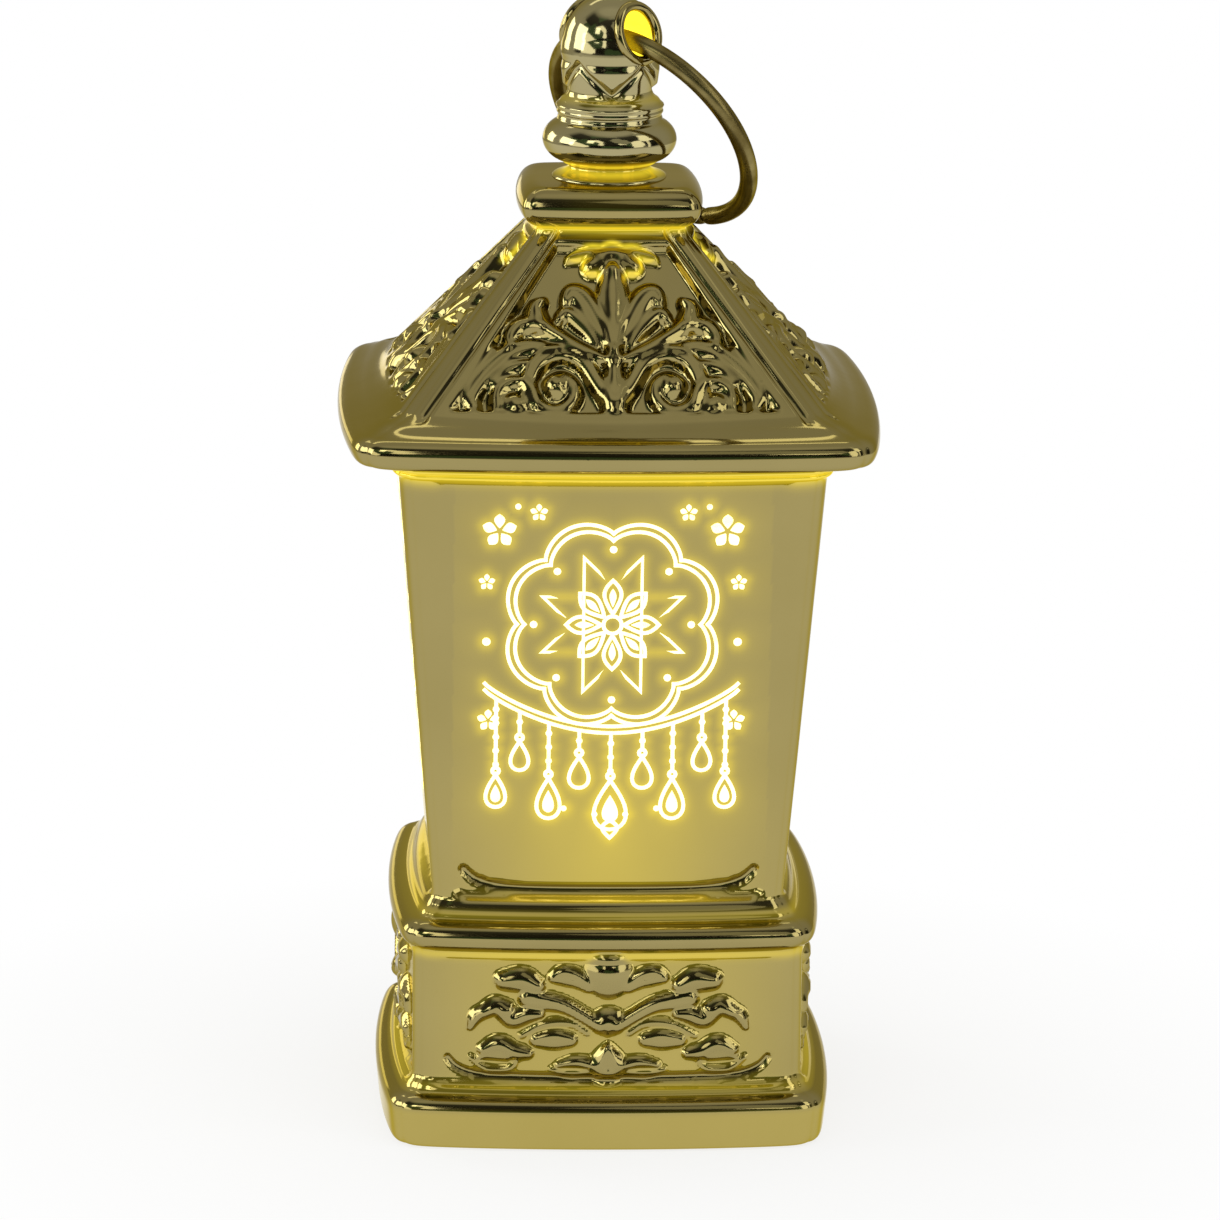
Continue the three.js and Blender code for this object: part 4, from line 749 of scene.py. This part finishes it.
# Blossoms and beads in the corners
for side in (-1, 1):
    for corner_u, corner_v, size in ((18.6, 104.9, 2.9), (20.2, 72.3, 1.9), (12.2, 108.1, 1.5), (20.6, 96.1, 1.4)):
        blossom(side * corner_u, corner_v, size)
    fills.append(circle_line(side * 20.6, 85.9, 0.7, 12))
    fills.append(circle_line(side * 15.6, 109.1, 0.5, 12))

# Swag of two lines, with beaded threads that end in drops, and a row of beads and a petal at the foot
swag_half, swag_gap = 21, 1.15
swag_u = np.linspace(-swag_half, swag_half, 61)
swag_v = 78.9 - 7.4 * np.sin(np.pi * (swag_u + swag_half) / (2 * swag_half)) ** 0.8
lines += [np.column_stack((swag_u, swag_v)), np.column_stack((swag_u, swag_v - swag_gap))]
for thread_u, hang, length, width, filled in (
    (0, 8.2, 8.6, 3.6, True), (5.2, 4.6, 5.4, 2.2, False), (10.2, 9.6, 7.0, 2.6, True), (15.0, 5.2, 5.0, 2.0, False),
    (18.9, 13.2, 5.6, 2.2, True),
):
    for side in ((-1, 1) if thread_u else (1,)):
        start_v = np.interp(side * thread_u, swag_u, swag_v) - swag_gap
        end_v = start_v - hang
        lines.append(np.array([(side * thread_u, start_v), (side * thread_u, end_v + 1.2)]))
        for bead_v in np.arange(start_v - 1.8, end_v + 1.6, -2.4):
            fills.append(circle_line(side * thread_u, bead_v, 0.55, 10))
        drop(side * thread_u, end_v, length, width, filled)
for k in (-3, -1, 1, 3):
    fills.append(circle_line(k * 2.55, 55.7 + 0.5 * abs(k), 0.5, 10))
lines.append(petal_line(0, 52.1, math.pi / 2, 0, 3.0, 1.2))


def window_depth(across, up):
    """Distance of the sunk panel's floor from the axis."""
    half = body_low + (body_high - body_low) * (up - body_z) / (cornice_z - body_z)
    return half * (1 - storey_bow * (across / half) ** 2) - body_sink


def ribbon(line, width):
    """Left and right edges of a line of this width, mitred at its bends."""
    step = np.diff(line, axis=0)
    step /= np.linalg.norm(step, axis=1)[:, None] + 1e-9
    closed = np.allclose(line[0], line[-1])
    before = np.vstack((step[-1:] if closed else step[:1], step))
    after = np.vstack((step, step[:1] if closed else step[-1:]))
    normal = (before + after)[:, ::-1] * (-1, 1)
    normal /= np.linalg.norm(normal, axis=1)[:, None] + 1e-9
    square = np.clip((normal * after[:, ::-1] * (-1, 1)).sum(axis=1), 0.5, 1)
    offset = normal * (width / 2 / square)[:, None]
    return line + offset, line - offset


flat_points, flat_faces = [], []
for line in lines:
    first = len(flat_points)
    for left_and_right in zip(*ribbon(line, line_width)):
        flat_points += left_and_right
    flat_faces += [(i, i + 1, i + 3, i + 2) for i in range(first, len(flat_points) - 2, 2)]
for outline in fills:
    first, count = len(flat_points), len(outline) - 1
    flat_points += [*outline[:-1], outline[:-1].mean(axis=0)]
    flat_faces += [(first + i, first + (i + 1) % count, first + count) for i in range(count)]
flat_points = np.array(flat_points)
away = window_depth(*flat_points.T)[:, None] + line_lift

lit_line, tree = new_material("lit_line")
spot = add_node(tree, "ShaderNodeTexCoord").outputs["Object"]
grain = add_node(tree, "ShaderNodeTexNoise", {"Scale": 420, "Vector": spot})
heat = add_ramp(tree, grain, [(0.3, (1.0, 0.84, 0.26)), (0.6, (1.0, 0.93, 0.46))])
shaded(tree, {"Base Color": (0.9, 0.85, 0.6, 1), "Roughness": 0.5, "Emission Color": heat, "Emission Strength": 1.7})
for out, along, label in zip(sides_out, sides_along, ("front", "right", "back", "left")):
    placed = np.column_stack((flat_points[:, :1] * along + away * out, flat_points[:, 1]))
    pattern = add_piece(f"light_lines_{label}", placed, flat_faces, smooth=False)
    form = bmesh.new()
    form.from_mesh(pattern.data)
    form.normal_update()
    facing = Vector((*out, 0))
    bmesh.ops.reverse_faces(form, faces=[face for face in form.faces if face.normal.dot(facing) < 0])
    form.to_mesh(pattern.data)
    form.free()
    thick = pattern.modifiers.new("thickness", "SOLIDIFY")
    thick.thickness = line_thickness * MM
    thick.offset = 1
    dress(pattern, lit_line, "shell", "ceramic_shell")


def dotted(line, gap):
    """Points a gap apart along a line."""
    marks = np.append(0, np.cumsum(np.hypot(*np.diff(line, axis=0).T)))
    stations = np.arange(0, marks[-1], gap)
    return np.column_stack([np.interp(stations, marks, line[:, i]) for i in (0, 1)])


# The plating round the lines is lit by them: a bright rim beside each line and a wide faint one
rim_glow, rim_reach, wide_glow, wide_reach = 0.22, 1.0, 0.09, 4.0
lit_path = np.vstack([dotted(line, 0.5) for line in lines + fills])
near_window = on_body & (np.abs(u) < 26)
window_u, window_v = u[near_window][:, None], v[near_window][:, None]
distance = np.empty(len(window_u))
for start in range(0, len(window_u), 4000):
    batch = slice(start, start + 4000)
    apart = (window_u[batch] - lit_path[:, 0]) ** 2 + (window_v[batch] - lit_path[:, 1]) ** 2
    distance[batch] = np.sqrt(apart.min(axis=1))
glow[near_window] += rim_glow * np.exp(-(distance / rim_reach) ** 2) + wide_glow * np.exp(-(distance / wide_reach))
set_glow(tower, glow)


# Hanging ring
# Thick bronze-coloured wire bent to a ring through the eyelet; its cut ends meet without solder.
# It leans over and rests on the hip of the roof, and it is worn brighter where it rubs.
pivot_z, ring_radius, wire_radius, ring_steps = 181.08, 19.5, 1.5, 181
ring_gap, ring_joint = 0.5, math.radians(172)
ring_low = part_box("hanging_ring")[0][2] / MM
swing = math.acos((pivot_z - ring_low - wire_radius) / (2 * ring_radius))
toward_centre = beside_eyelet * math.sin(swing) - straight_up * math.cos(swing)
opening = ring_gap / ring_radius
turns = (ring_joint + opening / 2 + np.linspace(0, 1, ring_steps) * (2 * math.pi - opening))[:, None]
ring_line = pivot_z * straight_up + ring_radius * (
    (1 - np.cos(turns)) * toward_centre + np.sin(turns) * across_eyelet)
from_end = np.minimum(np.arange(ring_steps), np.arange(ring_steps)[::-1])
wire = wire_radius * np.interp(from_end, (0, 1, 2), (0.86, 0.97, 1.0))
hanging_ring = tube("hanging_ring_wire", ring_line, wire, sides=28)
bronze_wire, tree = new_material("bronze_wire")
spot = add_node(tree, "ShaderNodeTexCoord").outputs["Object"]
rub = add_node(tree, "ShaderNodeTexNoise", {"Scale": 210, "Detail": 5, "Vector": spot})
patina = add_ramp(tree, rub, [(0.30, (0.135, 0.100, 0.030)), (0.72, (0.30, 0.245, 0.095))])
dull = add_node(tree, "ShaderNodeMapRange", {"Value": rub, "To Min": 0.38, "To Max": 0.22})
bump = add_node(tree, "ShaderNodeBump", {"Distance": 0.02 * MM, "Height": rub})
shaded(tree, {"Base Color": patina, "Metallic": 1, "Specular Tint": (0.55, 0.48, 0.28, 1),
              "Roughness": dull, "Normal": bump})
dress(hanging_ring, bronze_wire, "ring", "hanging_ring")


# Lamp unit: mouldings
# Moulded plastic tub, cover, door and switch, with the pin and the sprung metal contacts that they hold.
# They keep the frame's solids; their edges are softened and each gets a fine-grained material of its own.
grain_group, given, result = new_group("fine_grain", [
    ("Light Tone", "NodeSocketColor", (0.8, 0.8, 0.8, 1)), ("Deep Tone", "NodeSocketColor", (0.6, 0.6, 0.6, 1)),
    ("Grain Size", "NodeSocketFloat", 900.0), ("Smoothest", "NodeSocketFloat", 0.3),
    ("Roughest", "NodeSocketFloat", 0.5)], surface_outputs)
spot = add_node(grain_group, "ShaderNodeTexCoord").outputs["Object"]
specks = add_node(grain_group, "ShaderNodeTexNoise", {"Vector": spot, "Scale": given["Grain Size"], "Detail": 4})
tone = add_node(grain_group, "ShaderNodeMix", {
    "Factor": specks, "A": given["Deep Tone"], "B": given["Light Tone"]}, data_type="RGBA")
dull = add_node(grain_group, "ShaderNodeMapRange", {
    "Value": specks, "To Min": given["Smoothest"], "To Max": given["Roughest"]})
feed(grain_group, result, {"Color": tone, "Roughness": dull, "Height": specks})


def grained(name, light, deep, finish, grain, shader_feeds=None):
    """A material with a fine grain; finish is its smoothest and its roughest spot."""
    return coated(name, grain_group, {
        "Light Tone": (*light, 1), "Deep Tone": (*deep, 1), "Grain Size": grain,
        "Smoothest": finish[0], "Roughest": finish[1]}, 0.4, 0.01, shader_feeds or {})[:3]


def stops_along(tree, axis, start, end, stops, hard=False):
    """Colours in bands or in a gradient along one axis of the object, from start to end in millimetres."""
    spot = add_node(tree, "ShaderNodeTexCoord").outputs["Object"]
    apart = add_node(tree, "ShaderNodeSeparateXYZ", {0: spot})
    span = add_node(tree, "ShaderNodeMapRange", {
        "Value": apart.outputs[axis], "From Min": start * MM, "From Max": end * MM})
    return add_ramp(tree, span, stops, hard)


white_plastic = grained("white_plastic", (0.80, 0.79, 0.75), (0.76, 0.75, 0.70), (0.34, 0.46), 1400)[0]
black_plastic = grained("black_plastic", (0.022, 0.022, 0.022), (0.012, 0.012, 0.013), (0.30, 0.46), 1600)[0]
metal = {"Metallic": 1.0}
zinc_steel = grained("zinc_steel", (0.62, 0.63, 0.66), (0.50, 0.51, 0.53), (0.22, 0.40), 900, metal)[0]
nickel = grained("nickel", (0.78, 0.76, 0.72), (0.68, 0.66, 0.62), (0.10, 0.26), 700, metal)[0]
board_green, tree, shader = grained("board_green", (0.02, 0.14, 0.06), (0.01, 0.09, 0.04), (0.25, 0.4), 1200)
spot = add_node(tree, "ShaderNodeTexCoord").outputs["Object"]
tracks = add_node(tree, "ShaderNodeTexBrick", {
    "Vector": spot, "Scale": 260, "Mortar Size": 0.06, "Color1": (0.012, 0.10, 0.045, 1),
    "Color2": (0.014, 0.11, 0.05, 1), "Mortar": (0.05, 0.22, 0.10, 1)})
feed(tree, shader, {"Base Color": tracks})

sharp_angle, edge_round, contact_round = math.radians(32), 0.18, 0.4
smooth_faces = bpy.data.node_groups.new("smooth_faces", "GeometryNodeTree")
for way in ("INPUT", "OUTPUT"):
    smooth_faces.interface.new_socket("Geometry", in_out=way, socket_type="NodeSocketGeometry")
solid = add_node(smooth_faces, "NodeGroupInput")
welded = add_node(smooth_faces, "GeometryNodeMergeByDistance", {"Geometry": solid, "Distance": 0.005 * MM})
all_smooth = add_node(smooth_faces, "GeometryNodeSetShadeSmooth", {"Geometry": welded}, domain="FACE")
bend = add_node(smooth_faces, "GeometryNodeInputMeshEdgeAngle")
steep = add_node(smooth_faces, "FunctionNodeCompare", {0: bend, 1: sharp_angle}, operation="GREATER_THAN")
edges_sharp = add_node(smooth_faces, "GeometryNodeSetShadeSmooth", {
    "Geometry": all_smooth, "Selection": steep, "Shade Smooth": False}, domain="EDGE")
add_node(smooth_faces, "NodeGroupOutput", {0: edges_sharp})

for names, look in (
    (("lamp_base", "lamp_cover", "battery_door"), white_plastic), (("switch_housing", "switch_slider"), black_plastic),
    (("contact_plate", "contact_leaf"), nickel), (("door_pin",), zinc_steel), (("circuit_board",), board_green),
):
    for name in names:
        node = bpy.data.objects[name]
        for place in node.material_slots:
            place.material = look
        node.modifiers.new("smooth faces", "NODES").node_group = smooth_faces
        rounded = node.modifiers.new("soft edges", "BEVEL")
        rounded.width = edge_round * MM * (contact_round if look is nickel else 1)
        rounded.segments = 2
        rounded.limit_method = "ANGLE"
        rounded.angle_limit = sharp_angle


def middle_of(name):
    """Middle, lowest corner and highest corner of a node, in millimetres."""
    low, high = (np.array(corner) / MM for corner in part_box(name))
    return (low + high) / 2, low, high


def turned(name, outline, place=(0, 0, 0), axis=(0, 0, 1), segments=48):
    """A round piece turned from an outline that starts and ends on its axis."""
    outline = np.array(outline, dtype=float)
    piece = skin(name, spun(outline[1:-1, :1], outline[1:-1, 1:], segments), [(0, 0, outline[i, 1]) for i in (0, -1)])
    lie = Vector((0, 0, 1)).rotation_difference(Vector(axis)).to_matrix().to_4x4()
    piece.data.transform(Matrix.Translation(Vector(place) * MM) @ lie)
    return piece


# Screws
# Pan-head screws of zinc-plated steel: three hold the cover, two the board and one the battery door.
# Each has a rolled thread and a cross recess in its head.
head_radius, head_height, shank_radius, thread_depth, thread_pitch = 1.9, 0.9, 1.0, 0.2, 0.7
recess_depth, recess_reach, recess_width = 0.55, 1.05, 0.24
core_radius = shank_radius - thread_depth


def cross_cutter(place, up):
    """A tapered cross that is pressed into a screw head."""
    arm = [(recess_reach, recess_width), (recess_width, recess_width), (recess_width, recess_reach)]
    plus = [(x * c - y * s, x * s + y * c) for c, s in ((1, 0), (0, 1), (-1, 0), (0, -1)) for x, y in arm]
    tapers = ((0.55, head_height - recess_depth), (1.0, head_height), (1.0, head_height + 0.5))
    grid = np.array([[(x * taper, y * taper, z * up) for x, y in plus] for taper, z in tapers])[:, ::up] + place
    return skin("cross", grid, (grid[0].mean(axis=0), grid[-1].mean(axis=0)))


for name in ("cover_screw_1", "cover_screw_2", "cover_screw_3", "board_screw_1", "board_screw_2", "door_screw"):
    body, up = ("door", -1) if name == "door_screw" else ("lamp_unit", 1)
    middle, low, high = middle_of(name)
    length = high[2] - low[2] - head_height
    seat = np.array((middle[0], middle[1], high[2] - head_height if up > 0 else low[2] + head_height))
    outline = [(0, -length), (0.35, -length), (core_radius, 0.9 - length)]
    for crest in np.arange(1.2 - length, -0.4, thread_pitch):
        outline += [(core_radius, crest - 0.2), (shank_radius, crest), (core_radius, crest + 0.2)]
    outline += [(core_radius, -0.1), (shank_radius, 0), (head_radius - 0.1, 0), (head_radius, 0.1),
                *arc(head_radius - 1.0, 0.35, 1.0, head_height - 0.35, 0, 90, 8), (0, head_height)]
    screw = turned(name + "_cut", outline, seat, (0, 0, up), segments=32)
    cut_away(screw, cross_cutter(seat, up))
    dress(screw, zinc_steel, body, name)


# Button cells
# Three nickel-plated steel cells in a row, each with a rolled edge and a black seal round its cap.
cell_radius, cell_cap, seal_width = 5.8, 4.4, 0.35
cell_seal = grained("cell_seal", (0.03, 0.03, 0.035), (0.02, 0.02, 0.02), (0.5, 0.7), 900)[0]
for name in ("button_cell_1", "button_cell_2", "button_cell_3"):
    middle, low, high = middle_of(name)
    length = high[0] - low[0]
    shoulder = length - 0.3
    outline = [(0, 0.02), (cell_radius - 1.2, 0.02), (cell_radius - 1.0, 0.1), (cell_radius - 0.6, 0),
               *arc(cell_radius - 0.4, 0.4, 0.4, 0.4, -90, 0, 6),
               *arc(cell_radius - 0.4, shoulder - 0.4, 0.4, 0.4, 0, 90, 6),
               (cell_cap + seal_width, shoulder), (cell_cap + 0.02, shoulder - 0.06), (cell_cap, length - 0.12),
               (cell_cap - 0.15, length), (0, length)]
    cell = turned(name + "_can", outline, (low[0], middle[1], middle[2]), (1, 0, 0), segments=64)
    dress(cell, nickel, "lamp_unit", name)
    cell.data.materials.append(cell_seal)
    for face in cell.data.polygons:
        off_axis = math.hypot(face.center.y / MM - middle[1], face.center.z / MM - middle[2])
        at_seal = cell_cap < off_axis < cell_cap + seal_width and face.center.x / MM > low[0] + length / 2
        face.material_index = 1 if at_seal else 0


# Lights, resistor and frosted dome
# Four warm round-headed lights stand on the board beside a small banded resistor.
# A frosted plastic dome stands over them and glows, brightest near the lights.
led_lens, tree, shader = grained("led_lens", (0.95, 0.90, 0.66), (0.92, 0.84, 0.55), (0.10, 0.18), 500, {
    "IOR": 1.5, "Emission Strength": 2.2})
feed(tree, shader, {"Emission Color": stops_along(tree, "Z", 26.3, 34.9, [
    (0, (0.95, 0.55, 0.12)), (0.35, (1.0, 0.74, 0.28)), (0.8, (1.0, 0.90, 0.55))])})
led_rim, led_radius = 2.8, 2.5
for name in ("led_1", "led_2", "led_3", "led_4"):
    middle, low, high = middle_of(name)
    tall = high[2] - low[2]
    outline = [(0, 0), (led_rim - 0.1, 0), (led_rim, 0.1), (led_rim, 0.85), (led_rim - 0.12, 1.0), (led_radius, 1.02),
               *arc(0, tall - led_radius, led_radius, led_radius, 0, 88, 14), (0, tall)]
    lens = turned(name + "_lens", outline, (middle[0], middle[1], low[2]), segments=40)
    dress(lens, led_lens, "lamp_unit", name)

resistor_coat, tree, shader = grained("resistor_coat", (0.62, 0.42, 0.22), (0.55, 0.36, 0.18), (0.22, 0.32), 600)
body_reach, body_radius, waist_radius = 2.7, 1.1, 1.1 * 0.86
tan, brown, black, gold = (0.58, 0.39, 0.20), (0.16, 0.05, 0.02), (0.01, 0.01, 0.01), (0.55, 0.38, 0.08)
feed(tree, shader, {"Base Color": stops_along(tree, "X", -body_reach, body_reach, [
    (0, tan), (0.14, brown), (0.24, tan), (0.34, black), (0.43, tan), (0.50, brown), (0.59, tan), (0.78, gold),
    (0.87, tan)], hard=True)})
middle, low, _ = middle_of("resistor")
resistor_y, resistor_z = middle[1], low[2] + body_radius
outline = [(0, -body_reach), *arc(body_radius - 0.45, 0.5 - body_reach, 0.45, 0.5, -90, 0, 6),
           (body_radius, 1.2 - body_reach), (waist_radius, 1.7 - body_reach), (waist_radius, body_reach - 1.7),
           (body_radius, body_reach - 1.2), *arc(body_radius - 0.45, body_reach - 0.5, 0.45, 0.5, 0, 90, 6),
           (0, body_reach)]
coat = turned("resistor_body_coat", outline, (0, resistor_y, resistor_z), (1, 0, 0), segments=32)
dress(coat, resistor_coat, "lamp_unit", "resistor")
leg_x, leg_radius = 3.9, 0.3
right_leg = [(leg_x - 0.5, resistor_z), (leg_x - 0.15, resistor_z - 0.12), (leg_x, resistor_z - 0.5), (leg_x, low[2])]
leg_route = [(-x, resistor_y, z) for x, z in right_leg[::-1]] + [(x, resistor_y, z) for x, z in right_leg]
legs = tube("resistor_legs", leg_route, leg_radius, sides=12)
dress(legs, zinc_steel, "lamp_unit", "resistor")

frosted_plastic, tree, shader = grained("frosted_plastic", (0.90, 0.88, 0.82), (0.86, 0.83, 0.76), (0.42, 0.55), 1800, {
    "Subsurface Weight": 0.4, "Subsurface Scale": 2 * MM, "Emission Strength": 0.75})
feed(tree, shader, {"Emission Color": stops_along(tree, "Z", 24.4, 66, [
    (0, (0.80, 0.50, 0.16)), (0.25, (1.0, 0.78, 0.38)), (0.6, (0.95, 0.74, 0.40)), (1, (0.80, 0.62, 0.34))])})
dome_outer, dome_wall = 14.2, 1.6
_, low, high = middle_of("diffuser")
dome_low, dome_top = low[2], high[2]
dome_inner = dome_outer - dome_wall
crown = dome_inner * 0.6
spring = dome_top - dome_wall - crown
outline = [(0, dome_top - dome_wall), *arc(0, spring, dome_inner, crown, 88, 0), (dome_inner, dome_low + 0.2),
           (dome_inner + 0.2, dome_low), (dome_outer - 0.3, dome_low), (dome_outer, dome_low + 0.3),
           *arc(0, spring, dome_outer, crown + dome_wall, 0, 88), (0, dome_top)]
dress(turned("frosted_dome", outline, segments=96), frosted_plastic, "lamp_unit", "diffuser")


# Wires and rubber ring
# Three short sleeved wires run inside the tub from the contacts to the switch and the board.
# A ribbed rubber ring grips the hole in the ceramic floor.
red_sleeve = grained("red_sleeve", (0.42, 0.02, 0.015), (0.34, 0.012, 0.01), (0.25, 0.38), 900)[0]
black_sleeve = grained("black_sleeve", (0.02, 0.02, 0.02), (0.012, 0.012, 0.012), (0.28, 0.42), 900)[0]
lead_radius = 0.6
contact_x, black_contact_x, contact_z, row_y = 8.9, -11.7, 17.3, -8.0
switch_x, switch_y, terminal_z = 3.2, 14.0, 8.7
hole_x, hole_y, cover_z, board_end = 1.2, -8.5, 22.3, 24.1
for name, look, slot, route in (
    ("lead_red", red_sleeve, "red_sleeve",
     [(contact_x, row_y, contact_z), (contact_x, row_y, 17.7), (8.8, -6.4, 18.2), (8.1, -1.9, 17.6), (6.1, 6.0, 13.85),
      (switch_x, 13.0, 11.1), (switch_x, switch_y, terminal_z)]),
    ("lead_switch", red_sleeve, "red_sleeve",
     [(-switch_x, switch_y, terminal_z), (-switch_x, 13.0, 11.1), (-2.8, 6.0, 13.85), (-0.8, -1.9, 18.3),
      (hole_x, -7.7, 19.5), (hole_x, hole_y, cover_z + 0.2), (hole_x, hole_y, board_end)]),
    ("lead_black", black_sleeve, "black_sleeve",
     [(black_contact_x, row_y, contact_z), (black_contact_x, row_y, 18.1), (-5.95, -8.3, 19.3), (-2.2, hole_y, 19.5),
      (-hole_x, hole_y, cover_z + 0.2), (-hole_x, hole_y, board_end)]),
):
    sleeve = tube(name + "_sleeve", curve_through(route, 0.4), lead_radius, sides=14)
    dress(sleeve, look, "lamp_unit", name)

rubber = grained("rubber", (0.075, 0.075, 0.08), (0.05, 0.05, 0.052), (0.6, 0.8), 1100)[0]
_, low, high = middle_of("seal_ring")
ring_inner, ring_outer, ring_floor, ring_roof = 24.5, high[0], low[2], high[2]
rib_count, rib_depth = 3, 0.14
rib_levels = np.linspace(ring_floor + 0.1, ring_roof - 0.1, 40)
rib_turns = (rib_levels - ring_floor) / (ring_roof - ring_floor) * 2 * rib_count * np.pi + np.pi
section = np.array([
    *zip(ring_outer - rib_depth + rib_depth * np.cos(rib_turns), rib_levels), (ring_outer - 0.4, ring_roof),
    (ring_inner + 0.2, ring_roof), (ring_inner, ring_roof - 0.2), (ring_inner, ring_floor + 0.2),
    (ring_inner + 0.2, ring_floor), (ring_outer - 0.4, ring_floor)])
dress(skin("rubber_ring", spun(section[:, :1], section[:, 1:], 128)), rubber, "lamp_unit", "seal_ring")
